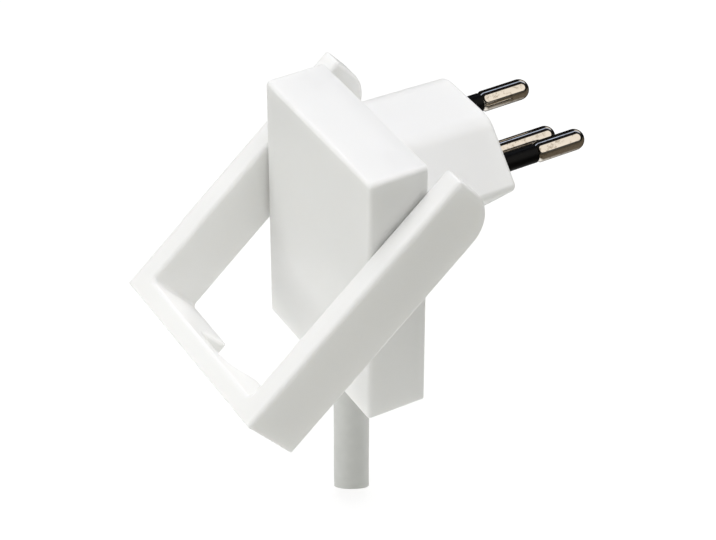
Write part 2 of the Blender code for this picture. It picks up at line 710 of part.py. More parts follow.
def make_handle():
    outline = handle_side_outline()
    handle = prism(outline, "Y", -HANDLE_OUTER, HANDLE_OUTER, "handle")
    front = max(point.x for point in outline)
    tip = max(point.y for point in outline)
    bottom = min(point.y for point in outline)
    inside = bottom + CROSSBAR_THICKNESS
    corners = [(HANDLE_INNER, inside), (HANDLE_INNER, tip + OVERCUT)]
    corners += [(-HANDLE_INNER, tip + OVERCUT), (-HANDLE_INNER, inside)]
    gap = rounded_polygon(corners, [HANDLE_INNER_RADIUS, 0, 0, HANDLE_INNER_RADIUS])
    cuts = [prism(gap, "X", -front - OVERCUT, front + OVERCUT)]
    cuts.append(cord_slot_tool(front, bottom, inside))
    combine(handle, cuts, "DIFFERENCE")
    soften = handle.modifiers.new("Soft edges", "BEVEL")
    soften.width = HANDLE_EDGE_RADIUS
    soften.segments = EDGE_STEPS
    soften.limit_method = "ANGLE"
    soften.angle_limit = SOFTENED_ANGLE
    trunnions = []
    for side in (1, -1):
        end = HANDLE_INNER - TRUNNION_LENGTH
        profile = [(end, TRUNNION_RADIUS - TRUNNION_LEAD), (end + TRUNNION_LEAD, TRUNNION_RADIUS)]
        profile.append((HANDLE_INNER + ARM_THICKNESS / 2, TRUNNION_RADIUS))
        trunnions.append(turned([(side * y, r) for y, r in profile], "Y"))
    combine(handle, trunnions, "UNION")
    return settled(handle)


def add_empty(name, location):
    empty = bpy.data.objects.new(name, None)
    empty.location = location
    bpy.context.scene.collection.objects.link(empty)
    return empty


def build_housings(body, white):
    place(make_front_housing(), "front_housing", white, body)
    place(make_rear_cover(), "rear_cover", white, body)


def build_contacts(body, steel):
    nickel = material("nickel_plated_brass", (0.72, 0.68, 0.60), 0.16, 1.0)
    sleeve_black = material("black_sleeve_plastic", (0.006, 0.006, 0.007), 0.35)
    carrier_grey = material("carrier_plastic", (0.30, 0.31, 0.32), 0.5)
    place(make_pin_carrier(), "pin_carrier", carrier_grey, body)
    outer_pin = make_pin(True)
    sleeve = make_sleeve()
    length = TERMINAL_RADIUS - WIRE_RADIUS
    screw_sizes = (TERMINAL_SCREW_RADIUS, length, TERMINAL_HEAD_RADIUS, TERMINAL_HEAD_HEIGHT)
    screw = make_screw(*screw_sizes)
    lift = Vector((CLAMPING_X, 0, TERMINAL_RADIUS + SEAT_GAP))
    place(outer_pin, "live_pin", nickel, body, PIN_PLACES["live"])
    place(copy_of(outer_pin), "neutral_pin", nickel, body, PIN_PLACES["neutral"])
    place(make_pin(False), "earth_pin", nickel, body, PIN_PLACES["earth"])
    place(sleeve, "live_pin_sleeve", sleeve_black, body, PIN_PLACES["live"])
    place(copy_of(sleeve), "neutral_pin_sleeve", sleeve_black, body, PIN_PLACES["neutral"])
    place(screw, "live_terminal_screw", steel, body, PIN_PLACES["live"] + lift)
    for pin in ("neutral", "earth"):
        name = pin + "_terminal_screw"
        place(copy_of(screw), name, steel, body, PIN_PLACES[pin] + lift)


def build_cord(body):
    copper = material("bare_copper", (0.78, 0.36, 0.20), 0.3, 1.0)
    sheath = material("white_cord_sheath", (0.72, 0.72, 0.69), 0.5)
    colours = {
        "live": (0.20, 0.07, 0.03),
        "neutral": (0.03, 0.12, 0.42),
        "earth": (0.30, 0.52, 0.05),
    }
    angles = {"live": 120, "neutral": 240, "earth": 0}
    for pin, colour in colours.items():
        route = core_route(pin, math.radians(angles[pin]))
        spot = PIN_PLACES[pin]
        reach = (TERMINAL_REAR + WIRE_BORE_DEPTH - SEAT_GAP, spot.y, spot.z)
        insulation = material(pin + "_insulation", colour, 0.45)
        place(make_core(route), pin + "_core_insulation", insulation, body)
        place(make_wire(route, reach), pin + "_conductor", copper, body)
    place(make_cord(), "cord_sheath", sheath, body)


def build_fastenings(body, steel):
    clamp_white = material("clamp_plastic", (0.76, 0.76, 0.73), 0.5)
    place(make_cord_clamp(), "cord_clamp", clamp_white, body)

    seat = PLATE_FRONT - HOUSING_HEAD_HEIGHT - SEAT_GAP / 2
    sizes = (HOUSING_SCREW_RADIUS, HOUSING_SCREW_LENGTH, HOUSING_HEAD_RADIUS, HOUSING_HEAD_HEIGHT)
    screw = make_screw(*sizes)
    left, right = housing_screw_places()
    facing = (0, math.pi / 2, 0)
    place(screw, "housing_screw_left", steel, body, (seat, *left), facing)
    place(copy_of(screw), "housing_screw_right", steel, body, (seat, *right), facing)

    reach = CLAMP_EAR_THICKNESS + CLAMP_POST_HEIGHT
    screw = make_screw(CLAMP_SCREW_RADIUS, reach, CLAMP_HEAD_RADIUS, CLAMP_HEAD_HEIGHT)
    seat = FRONT_WALL_INSIDE - CLAMP_POST_HEIGHT - 2 * SEAT_GAP - CLAMP_EAR_THICKNESS
    left, right = clamp_screw_places()
    facing = (0, -math.pi / 2, 0)
    place(screw, "clamp_screw_left", steel, body, (seat, *left), facing)
    place(copy_of(screw), "clamp_screw_right", steel, body, (seat, *right), facing)


def build_handle(body, white):
    pivot = add_empty("handle_pivot", (PIVOT_X, 0, -PIVOT_BELOW_PINS))
    pivot.parent = body
    pivot.rotation_euler = (0, OPEN_ANGLE, 0)
    place(make_handle(), "handle", white, pivot)


def build():
    clear_scene()
    white = material("white_plastic", (0.84, 0.84, 0.82), 0.38)
    steel = material("zinc_plated_steel", (0.62, 0.63, 0.65), 0.3, 1.0)
    body = add_empty("plug_body", (0, 0, 0))
    build_housings(body, white)
    build_contacts(body, steel)
    build_cord(body)
    build_fastenings(body, steel)
    build_handle(body, white)


build()
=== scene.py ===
"""Flat mains plug with a swing-out pull handle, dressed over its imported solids.

Units are metres, in the solids' own frame: the origin is the middle of the neck's front
face, +X runs out along the pins, +Y is the left of someone who pushes the plug in, and
the cord leaves downwards.
"""
import math

import bmesh
import bpy
from mathutils import Matrix, Vector


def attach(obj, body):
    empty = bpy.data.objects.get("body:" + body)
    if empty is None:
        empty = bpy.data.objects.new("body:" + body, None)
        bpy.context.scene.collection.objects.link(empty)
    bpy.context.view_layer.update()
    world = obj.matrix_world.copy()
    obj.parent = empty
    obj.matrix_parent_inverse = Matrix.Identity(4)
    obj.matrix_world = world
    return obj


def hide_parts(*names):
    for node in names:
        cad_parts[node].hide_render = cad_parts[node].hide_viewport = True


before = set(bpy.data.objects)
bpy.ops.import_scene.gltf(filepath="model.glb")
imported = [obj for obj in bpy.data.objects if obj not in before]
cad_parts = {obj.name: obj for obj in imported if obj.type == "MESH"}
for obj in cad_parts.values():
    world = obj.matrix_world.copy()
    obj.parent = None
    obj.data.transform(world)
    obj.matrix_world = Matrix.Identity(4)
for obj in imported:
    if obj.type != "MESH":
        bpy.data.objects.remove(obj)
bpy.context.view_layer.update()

MM = 0.001

# Pins
PIN_SPACING = 19.0 * MM
EARTH_DROP = 5.0 * MM
PIN_RADIUS = 2.0 * MM
PIN_REACH = 19.0 * MM
SLEEVE_REACH = 8.4 * MM
SLEEVE_WALL = 0.5 * MM
SLEEVE_RADIUS = 1.82 * MM
PIN_SHOULDER_LENGTH = 0.6 * MM
PIN_SHOULDER_HEIGHT = 0.35 * MM
TERMINAL_RADIUS = 2.5 * MM
TERMINAL_FRONT = -3.3 * MM
TERMINAL_REAR = -17.0 * MM
WIRE_BORE_RADIUS = 0.95 * MM
WIRE_BORE_DEPTH = 7.8 * MM
CLAMPING_X = -13.0 * MM

# Neck
NECK_LENGTH = 20.0 * MM
NECK_HALF_HEIGHT = 9.9 * MM
NECK_HALF_WIDTH = 17.5 * MM
NECK_SLOPE = math.radians(45)
NECK_DRAFT = math.radians(1.5)
NECK_SHOULDER_RADIUS = 5.0 * MM
NECK_CREASE_RADIUS = 1.3 * MM
NECK_EDGE_RADIUS = 1.0 * MM
NECK_ROOT_RADIUS = 0.3 * MM
NECK_WALL = 1.6 * MM
NECK_FACE_WALL = 3.0 * MM

# Flat body
PLATE_WIDTH = 38.1 * MM
PLATE_THICKNESS = 11.9 * MM
PLATE_TOP = 12.87 * MM
PLATE_BOTTOM = -40.15 * MM
PLATE_CORNER_RADIUS = 1.0 * MM
PLATE_REAR_RADIUS = 0.9 * MM
PLATE_FOOT_RADIUS = 0.6 * MM
PLATE_FRONT_RADIUS = 0.3 * MM
COVER_WALL = 1.8 * MM
COVER_RIM = 0.9 * MM
FRONT_WALL = 1.6 * MM
PLATE_FRONT = -NECK_LENGTH
PLATE_REAR = PLATE_FRONT - PLATE_THICKNESS
FRONT_WALL_INSIDE = PLATE_FRONT - FRONT_WALL
COVER_FLOOR = PLATE_REAR + COVER_WALL

# Pull handle, measured folded. It is a little stouter than its solid, because its moulded
# edges are rounder.
PIVOT_Z = -5.1 * MM
PIVOT_X = -25.8 * MM
ARM_THICKNESS = 4.87 * MM
CROSSBAR_THICKNESS = 3.9 * MM
CROSSBAR_GAP = 0.35 * MM
ARM_GAP = 0.3 * MM
HANDLE_BEHIND_PIVOT = 6.25 * MM
HANDLE_AHEAD_OF_PIVOT = 6.5 * MM
HANDLE_FRONT_DRAFT = 0.4 * MM
HANDLE_CAM_RADIUS = 7.6 * MM
HANDLE_SOFT_RADIUS = 0.8 * MM
HANDLE_REAR_RADIUS = 1.0 * MM
HANDLE_EDGE_RADIUS = 0.5 * MM
HANDLE_FOOT_RADIUS = 0.4 * MM
HANDLE_STEP_HEIGHT = 0.15 * MM
HANDLE_STEP_FROM_CROSSBAR = 11.9 * MM
HANDLE_STEP_RUN = 0.6 * MM
HANDLE_INNER_RADIUS = 0.8 * MM
OPEN_ANGLE = math.radians(48.6)
TRUNNION_RADIUS = 2.7 * MM
TRUNNION_LENGTH = 3.0 * MM
TRUNNION_LEAD = 0.4 * MM
SOCKET_WALL = 0.9 * MM
SOCKET_FLOOR = 1.1 * MM
HANDLE_INNER = PLATE_WIDTH / 2 + ARM_GAP
HANDLE_OUTER = HANDLE_INNER + ARM_THICKNESS

# Cord
CORD_X = -24.75 * MM
CORD_RADIUS = 3.45 * MM
CORD_TOP = -22.0 * MM
CORD_END = -74.3 * MM
CORD_CUT_SLANT = math.radians(32.5)
CORD_CUT_HEADING = math.radians(-119.7)
CORE_RADIUS = 1.25 * MM
CORE_SPREAD = 1.6 * MM
WIRE_RADIUS = 0.65 * MM
STRAND_RADIUS = 0.1 * MM
CORE_ANGLES = {"live": 120, "neutral": 240, "earth": 0}
CORD_RECESS = 0.5 * MM
SLOT_SIDE_ROOM = 1.9 * MM
SLOT_BOTTOM_ROOM = 0.2 * MM
SLOT_BOTTOM_RADIUS = 3.5 * MM
SLOT_MOUTH_RADIUS = 2.0 * MM
SLOT_LIP_RADIUS = 0.8 * MM

# Clamp posts, screws and hooks
CLAMP_Z = -29.5 * MM
CLAMP_EAR_THICKNESS = 1.8 * MM
CLAMP_SCREW_SPACING = 14.4 * MM
CLAMP_SCREW_RADIUS = 1.1 * MM
CLAMP_HEAD_RADIUS = 2.0 * MM
CLAMP_HEAD_HEIGHT = 1.2 * MM
CLAMP_POST_HEIGHT = 3.6 * MM
HOUSING_SCREW_RADIUS = 1.3 * MM
HOUSING_SCREW_LENGTH = 6.0 * MM
HOUSING_HEAD_RADIUS = 2.5 * MM
HOUSING_HEAD_HEIGHT = 1.5 * MM
HOUSING_SEAT_WALL = 1.8 * MM
SCREW_BOSS_WALL = 1.3 * MM
TERMINAL_SCREW_RADIUS = 1.25 * MM
TERMINAL_HEAD_RADIUS = 1.8 * MM
TERMINAL_HEAD_HEIGHT = 1.2 * MM
SCREW_SLOT_WIDTH = 0.7 * MM
SCREW_SLOT_DEPTH = 0.6 * MM
THREAD_PITCH = 0.6 * MM
THREAD_DEPTH = 0.12 * MM
SCREW_CROWN = 0.35    # how far the rim lies below the middle, as a share of the head's height
SHANK_DROP = 0.49     # of its length; a little less than half, so that it joins the head
HOOK_WIDTH = 5.0 * MM
HOOK_THICKNESS = 1.2 * MM
HOOK_LENGTH = 3.4 * MM
HOOK_CATCH = 0.8 * MM
CARRIER_REAR = -19.5 * MM
HOLD_DOWN_SPACING = 9.5 * MM
HOLD_DOWN_Z = 5.5 * MM
HOLD_DOWN_RADIUS = 1.4 * MM

# Clearances
SEAT_GAP = 0.3 * MM
FIT_GAP = 0.15 * MM
RUNNING_GAP = 0.3 * MM
PASS_GAP = 0.2 * MM
SCREW_SEAT = PLATE_FRONT - HOUSING_HEAD_HEIGHT - SEAT_GAP
SCREW_WELL_RADIUS = HOUSING_HEAD_RADIUS + SEAT_GAP
SCREW_SEAT_RADIUS = SCREW_WELL_RADIUS + SCREW_BOSS_WALL

SIDES = 72
SMALL_SIDES = 40
CORNER_STEPS = 10
EDGE_STEPS = 6
OVERCUT = 1.0 * MM
SLIVER = 0.02 * MM
SHARP_ANGLE = math.radians(32)     # faces that meet more steeply are shaded apart
CORNER_ANGLE = math.radians(50)    # edges that turn less than this aren't rounded

PIN_PLACES = {
    "live": Vector((0, PIN_SPACING / 2, 0)),
    "neutral": Vector((0, -PIN_SPACING / 2, 0)),
    "earth": Vector((0, 0, -EARTH_DROP)),
}


# Camera, floor and light

def add_camera():
    """Behind the plug on its right, about half a metre away."""
    lens = bpy.data.cameras.new("camera")
    lens.sensor_fit = "HORIZONTAL"
    lens.sensor_width = 36.0
    lens.lens = 140.13
    lens.clip_start = 0.01
    camera = bpy.data.objects.new("camera", lens)
    right = Vector((0.868861, -0.495057, 0.0000676))
    up = Vector((0.301255, 0.528833, 0.793461))
    back = Vector((-0.392844, -0.689387, 0.608620))
    turn = Matrix((right, up, back)).transposed().to_4x4()
    camera.matrix_world = Matrix.Translation((-0.226438, -0.356509, 0.293443)) @ turn
    bpy.context.scene.collection.objects.link(camera)
    bpy.context.scene.camera = camera


def add_softbox(name, centre, target, width, height, level, colour=(1, 1, 1), mirrored=True,
                spread=math.pi):
    """A rectangular lamp; level is the brightness of its own face, where white is 1."""
    lamp = bpy.data.lights.new(name, "AREA")
    lamp.shape = "RECTANGLE"
    lamp.size = width
    lamp.size_y = height
    lamp.energy = level * math.pi * width * height
    lamp.color = colour
    lamp.spread = spread
    holder = bpy.data.objects.new(name, lamp)
    aim = (Vector(target) - Vector(centre)).to_track_quat("-Z", "Y")
    holder.matrix_world = Matrix.Translation(centre) @ aim.to_matrix().to_4x4()
    holder.visible_glossy = mirrored
    holder.visible_camera = False
    bpy.context.scene.collection.objects.link(holder)


def node(tree, kind, settings=None, links=None):
    """Adds one node, gives its properties and sockets their values, and links it."""
    made = tree.nodes.new(kind)
    for key, value in (settings or {}).items():
        if isinstance(key, int) or key in made.inputs:
            made.inputs[key].default_value = value
        else:
            setattr(made, key, value)
    for key, source in (links or {}).items():
        tree.links.new(source, made.inputs[key])
    return made


def linear(hex_colour):
    """An sRGB hex colour as the linear RGBA that the shader sockets take."""
    channels = []
    for start in (0, 2, 4):
        value = int(hex_colour[start:start + 2], 16) / 255
        channels.append(value / 12.92 if value <= 0.04045 else ((value + 0.055) / 1.055) ** 2.4)
    return (*channels, 1.0)


def add_studio():
    """White to the eye, and a little dimmer from the front than from behind. Metal mirrors
    a dim room with white screens above the camera and behind the plug, and a thin strip
    lamp along its far side."""
    world = bpy.data.worlds.new("studio")
    bpy.context.scene.world = world
    world.use_nodes = True
    tree = world.node_tree
    tree.nodes.clear()
    rays = node(tree, "ShaderNodeLightPath")
    seen = rays.outputs["Is Camera Ray"]
    mirrored = node(tree, "ShaderNodeMath", {"operation": "MAXIMUM"},
                    {0: rays.outputs["Is Glossy Ray"], 1: rays.outputs["Is Transmission Ray"]})
    heading = node(tree, "ShaderNodeTexCoord").outputs["Generated"]
    glow = None
    room_level = 0.012
    # Each screen: the way to its middle, the cosines of its soft edge, and its level
    screens = [
        ((0.39, -0.55, 0.73), 0.80, 0.84, 1.12),
        ((-0.85, 0.25, 0.46), 0.86, 0.92, 0.9),
        ((0.75, 0.55, 0.35), 0.93, 0.97, 0.7),
        ((0.20, -0.95, 0.15), 0.80, 0.95, 0.07),
    ]
    for middle, outer, inner, level in screens:
        near = node(tree, "ShaderNodeVectorMath", {"operation": "DOT_PRODUCT", 1: middle},
                    {0: heading})
        screen = node(tree, "ShaderNodeMapRange",
                      {"interpolation_type": "SMOOTHSTEP", 1: outer, 2: inner, 3: 0.0, 4: level},
                      {0: near.outputs["Value"]})
        before = {0: glow.outputs[0]} if glow else {}
        glow = node(tree, "ShaderNodeMath", {"operation": "ADD", 0: room_level},
                    {**before, 1: screen.outputs[0]})
    # The strip lamp: a band along the plane square to this, on the plug's far side only
    across = (0, -0.766, 0.643)
    outer, inner, strip_level = 0.10, 0.05, 1.2
    tilt = node(tree, "ShaderNodeVectorMath", {"operation": "DOT_PRODUCT", 1: across},
                {0: heading})
    off = node(tree, "ShaderNodeMath", {"operation": "ABSOLUTE"}, {0: tilt.outputs["Value"]})
    strip = node(tree, "ShaderNodeMapRange",
                 {"interpolation_type": "SMOOTHSTEP", 1: outer, 2: inner, 3: 0.0, 4: strip_level},
                 {0: off.outputs[0]})
    side = node(tree, "ShaderNodeSeparateXYZ", links={0: heading})
    far = node(tree, "ShaderNodeMapRange", {1: 0.2, 2: 0.35}, {0: side.outputs["Y"]})
    lamp = node(tree, "ShaderNodeMath", {"operation": "MULTIPLY"},
                {0: strip.outputs[0], 1: far.outputs[0]})
    fade = node(tree, "ShaderNodeMath", {"operation": "MAXIMUM"},
                {0: glow.outputs[0], 1: lamp.outputs[0]})
    # What lights the plug itself, from straight in front to the sides and behind
    front_level, full_level = 0.385, 0.455
    strength = node(tree, "ShaderNodeMapRange", {1: -1.0, 2: 0.0, 3: front_level, 4: full_level},
                    {0: side.outputs["Y"]})
    ambient = node(tree, "ShaderNodeBackground", {"Color": linear("FCFDF4")},
                   {"Strength": strength.outputs[0]})
    cool = node(tree, "ShaderNodeMix",
                {"data_type": "RGBA", 6: linear("FFF8EE"), 7: linear("CFE0FF")},
                {0: lamp.outputs[0]})
    walls = node(tree, "ShaderNodeBackground",
                 links={"Color": cool.outputs[2], "Strength": fade.outputs[0]})
    white = node(tree, "ShaderNodeBackground", {"Color": (1, 1, 1, 1), "Strength": 1.0})
    lit = node(tree, "ShaderNodeMixShader",
               links={0: mirrored.outputs[0], 1: ambient.outputs[0], 2: walls.outputs[0]})
    shown = node(tree, "ShaderNodeMixShader",
                 links={0: seen, 1: lit.outputs[0], 2: white.outputs[0]})
    node(tree, "ShaderNodeOutputWorld", links={"Surface": shown.outputs[0]})

    # Each lamp: its place, what it faces, its width and height, and its level
    add_softbox("overhead_softbox", (0.0, 0.03, 0.50), (-0.02, 0, -0.02), 0.45, 0.45, 3.4,
                (0.955, 0.945, 1.0), False)
    add_softbox("rear_softbox", (-0.45, 0.10, 0.02), (-0.03, 0, -0.02), 0.30, 0.12, 3.3)
    add_softbox("low_bounce_card", (-0.10, 0, -0.07), (-0.032, 0, -0.035), 0.07, 0.03, 1.3)
    add_softbox("crossbar_bounce_card", (-0.036, 0, -0.014), (-0.0505, 0, -0.027), 0.034, 0.005,
                0.33, mirrored=False, spread=math.radians(45))
    add_softbox("right_bounce_card", (0.03, -0.03, -0.065), (CORD_X, 0, -0.06), 0.04, 0.02, 2.0,
                mirrored=False)


def add_floor():
    """A matt white sheet that keeps a soft shadow. Metal mirrors its middle as white, and
    round that a table, dull brown in front and dark behind."""
    low = CORD_END - CORD_RADIUS * math.tan(CORD_CUT_SLANT) - SLIVER
    finish = bpy.data.materials.new("matt_white_paper_sheet")
    finish.use_nodes = True
    tree = finish.node_tree
    tree.nodes.clear()
    rays = node(tree, "ShaderNodeLightPath")
    through = node(tree, "ShaderNodeMath", {"operation": "MAXIMUM"},
                   {0: rays.outputs["Is Glossy Ray"], 1: rays.outputs["Is Transmission Ray"]})
    place = node(tree, "ShaderNodeTexCoord").outputs["Object"]
    under_plug = (-0.03, 0, low)
    way = node(tree, "ShaderNodeVectorMath", {"operation": "DISTANCE", 1: under_plug}, {0: place})
    sheet = node(tree, "ShaderNodeMapRange",
                 {"interpolation_type": "SMOOTHSTEP", 1: 0.04, 2: 0.10, 3: 1.0, 4: 0.0},
                 {0: way.outputs["Value"]})
    mirrored = node(tree, "ShaderNodeMath", {"operation": "MULTIPLY"},
                    {0: through.outputs[0], 1: sheet.outputs[0]})
    seen = node(tree, "ShaderNodeMath", {"operation": "MAXIMUM"},
                {0: rays.outputs["Is Camera Ray"], 1: mirrored.outputs[0]})
    share = node(tree, "ShaderNodeMath", {"operation": "MULTIPLY", 1: 0.80}, {0: seen.outputs[0]})
    direct = node(tree, "ShaderNodeMath", {"operation": "SUBTRACT", 0: 1.0},
                  {1: through.outputs[0]})
    white = node(tree, "ShaderNodeMath", {"operation": "MAXIMUM"},
                 {0: direct.outputs[0], 1: sheet.outputs[0]})
    side = node(tree, "ShaderNodeSeparateXYZ", links={0: place})
    far = node(tree, "ShaderNodeMapRange", {1: 0.0, 2: 0.05}, {0: side.outputs["Y"]})
    table = node(tree, "ShaderNodeMix",
                 {"data_type": "RGBA", 6: linear("6E6558"), 7: linear("14161B")},
                 {0: far.outputs[0]})
    tint = node(tree, "ShaderNodeMix", {"data_type": "RGBA", 7: linear("F2F2F0")},
                {0: white.outputs[0], 6: table.outputs[2]})
    paper = node(tree, "ShaderNodeBsdfDiffuse", links={"Color": tint.outputs[2]})
    glow = node(tree, "ShaderNodeEmission", {"Color": (1, 1, 1, 1), "Strength": 1.12})
    both = node(tree, "ShaderNodeMixShader",
                links={0: share.outputs[0], 1: paper.outputs[0], 2: glow.outputs[0]})
    node(tree, "ShaderNodeOutputMaterial", links={"Surface": both.outputs[0]})
    mesh = bmesh.new()
    reach = 3.0
    corners = [(-reach, -reach), (reach, -reach), (reach, reach), (-reach, reach)]
    mesh.faces.new([mesh.verts.new((x, y, low)) for x, y in corners])
    data = bpy.data.meshes.new("floor")
    mesh.to_mesh(data)
    mesh.free()
    floor = bpy.data.objects.new("floor", data)
    bpy.context.scene.collection.objects.link(floor)
    data.materials.append(finish)


# Finishes

def new_finish(name):
    finish = bpy.data.materials.new(name)
    finish.use_nodes = True
    tree = finish.node_tree
    tree.nodes.clear()
    shader = node(tree, "ShaderNodeBsdfPrincipled")
    node(tree, "ShaderNodeOutputMaterial", links={"Surface": shader.outputs[0]})
    place = node(tree, "ShaderNodeTexCoord").outputs["Object"]
    return finish, tree, shader, place


def moulded_white_plastic():
    """Injection-moulded white polyamide: satin, faintly grained by the tool's spark-eroded
    face, with slow waves over the flats where the wall shrank as it cooled."""
    finish, tree, shader, place = new_finish("satin_moulded_white_polyamide")
    shader.inputs["IOR"].default_value = 1.53
    shader.inputs["Subsurface Weight"].default_value = 0.6
    shader.inputs["Subsurface Radius"].default_value = (1.0, 0.98, 0.95)
    shader.inputs["Subsurface Scale"].default_value = 2.5 * MM
    # Pigment varies by under one percent over about 15 mm
    cloud = node(tree, "ShaderNodeTexNoise", {"Scale": 1 / (15 * MM), "Detail": 2.0},
                 {"Vector": place})
    tint = node(tree, "ShaderNodeMix",
                {"data_type": "RGBA", 6: linear("F1F1F0"), 7: linear("F4F4F3")},
                {0: cloud.outputs["Fac"]})
    tree.links.new(tint.outputs[2], shader.inputs["Base Color"])
    # The real grain is about 0.1 mm; it is drawn at 0.45 mm so that it shows at all
    grain = node(tree, "ShaderNodeTexNoise", {"Scale": 1 / (0.45 * MM), "Detail": 3.0},
                 {"Vector": place})
    waves = node(tree, "ShaderNodeTexNoise", {"Scale": 1 / (9 * MM), "Detail": 1.0},
                 {"Vector": place})
    gloss = node(tree, "ShaderNodeMapRange", {3: 0.36, 4: 0.46}, {0: cloud.outputs["Fac"]})
    tree.links.new(gloss.outputs[0], shader.inputs["Roughness"])
    slow = node(tree, "ShaderNodeBump", {"Strength": 0.35, "Distance": 0.05 * MM},
                {"Height": waves.outputs["Fac"]})
    fine = node(tree, "ShaderNodeBump", {"Strength": 0.30, "Distance": 0.012 * MM},
                {"Height": grain.outputs["Fac"], "Normal": slow.outputs[0]})
    tree.links.new(fine.outputs[0], shader.inputs["Normal"])
    return finish


def turned_nickel_plated_brass():
    """Nickel-plated brass pins: a mirror with faint turning rings round the pin's axis and
    small dull spots, warm where the brass shows through the thin plating."""
    finish, tree, shader, place = new_finish("turned_nickel_plated_brass")
    shader.inputs["Metallic"].default_value = 1.0
    spots = node(tree, "ShaderNodeTexNoise",
                 {"Scale": 1 / (0.9 * MM), "Detail": 4.0, "Roughness": 0.65},
                 {"Vector": place})
    dull = node(tree, "ShaderNodeMapRange", {1: 0.52, 2: 0.68, 3: 0.0, 4: 1.0},
                {0: spots.outputs["Fac"]})
    tint = node(tree, "ShaderNodeMix",
                {"data_type": "RGBA", 6: linear("DFD9D0"), 7: linear("A89F92")},
                {0: dull.outputs[0]})
    tree.links.new(tint.outputs[2], shader.inputs["Base Color"])
    gloss = node(tree, "ShaderNodeMapRange", {3: 0.05, 4: 0.12}, {0: dull.outputs[0]})
    tree.links.new(gloss.outputs[0], shader.inputs["Roughness"])
    # Feed marks of the lathe, 0.12 mm apart along the pin
    along = node(tree, "ShaderNodeMapping", {"Scale": (1 / (0.12 * MM), 1.0, 1.0)},
                 {"Vector": place})
    rings = node(tree, "ShaderNodeTexNoise", {"Scale": 1.0, "Detail": 2.0},
                 {"Vector": along.outputs[0]})
    marks = node(tree, "ShaderNodeBump", {"Strength": 0.06, "Distance": 0.003 * MM},
                 {"Height": rings.outputs["Fac"]})
    tree.links.new(marks.outputs[0], shader.inputs["Normal"])
    return finish


def black_sleeve_nylon():
    """Black nylon moulded round the pin: deep and even, with a soft sheen."""
    finish, tree, shader, place = new_finish("moulded_black_nylon")
    shader.inputs["IOR"].default_value = 1.45
    shader.inputs["Specular IOR Level"].default_value = 0.15
    cloud = node(tree, "ShaderNodeTexNoise", {"Scale": 1 / (0.5 * MM), "Detail": 3.0},
                 {"Vector": place})
    tint = node(tree, "ShaderNodeMix",
                {"data_type": "RGBA", 6: linear("020203"), 7: linear("060607")},
                {0: cloud.outputs["Fac"]})
    tree.links.new(tint.outputs[2], shader.inputs["Base Color"])
    gloss = node(tree, "ShaderNodeMapRange", {3: 0.34, 4: 0.48}, {0: cloud.outputs["Fac"]})
    tree.links.new(gloss.outputs[0], shader.inputs["Roughness"])
    bump = node(tree, "ShaderNodeBump", {"Strength": 0.2, "Distance": 0.01 * MM},
                {"Height": cloud.outputs["Fac"]})
    tree.links.new(bump.outputs[0], shader.inputs["Normal"])
    return finish


def soft_pvc(name, dark, light):
    """Extruded PVC: matt, with fine drawn lines along the cord and a slight mottle."""
    finish, tree, shader, place = new_finish(name)
    shader.inputs["IOR"].default_value = 1.53
    # Drawn lines are stretched thirty times along the cord's axis
    drawn = node(tree, "ShaderNodeMapping", {"Scale": (1.0, 1.0, 1 / 30)}, {"Vector": place})
    lines = node(tree, "ShaderNodeTexNoise", {"Scale": 1 / (0.35 * MM), "Detail": 3.0},
                 {"Vector": drawn.outputs[0]})
    mottle = node(tree, "ShaderNodeTexNoise", {"Scale": 1 / (2.5 * MM), "Detail": 3.0},
                  {"Vector": place})
    tint = node(tree, "ShaderNodeMix", {"data_type": "RGBA", 6: linear(dark), 7: linear(light)},
                {0: mottle.outputs["Fac"]})
    tree.links.new(tint.outputs[2], shader.inputs["Base Color"])
    gloss = node(tree, "ShaderNodeMapRange", {3: 0.36, 4: 0.46}, {0: lines.outputs["Fac"]})
    tree.links.new(gloss.outputs[0], shader.inputs["Roughness"])
    bump = node(tree, "ShaderNodeBump", {"Strength": 0.25, "Distance": 0.02 * MM},
                {"Height": lines.outputs["Fac"]})
    tree.links.new(bump.outputs[0], shader.inputs["Normal"])
    return finish


def two_tone_pvc():
    """Earth insulation: extruded PVC in green with a yellow half, split along the core."""
    finish, tree, shader, place = new_finish("extruded_green_yellow_pvc")
    shader.inputs["IOR"].default_value = 1.53
    side = node(tree, "ShaderNodeSeparateXYZ", links={0: place})
    waver = node(tree, "ShaderNodeTexNoise", {"Scale": 1 / (1.2 * MM), "Detail": 1.0},
                 {"Vector": place})
    shift = node(tree, "ShaderNodeMapRange", {3: -0.15 * MM, 4: 0.15 * MM},
                 {0: waver.outputs["Fac"]})
    edge = node(tree, "ShaderNodeMath", {"operation": "ADD"},
                {0: side.outputs["Y"], 1: shift.outputs[0]})
    half = node(tree, "ShaderNodeMapRange", {1: -0.03 * MM, 2: 0.03 * MM}, {0: edge.outputs[0]})
    tint = node(tree, "ShaderNodeMix",
                {"data_type": "RGBA", 6: linear("2F7A34"), 7: linear("D9C52B")},
                {0: half.outputs[0]})
    tree.links.new(tint.outputs[2], shader.inputs["Base Color"])
    gloss = node(tree, "ShaderNodeMapRange", {3: 0.34, 4: 0.46}, {0: waver.outputs["Fac"]})
    tree.links.new(gloss.outputs[0], shader.inputs["Roughness"])
    return finish


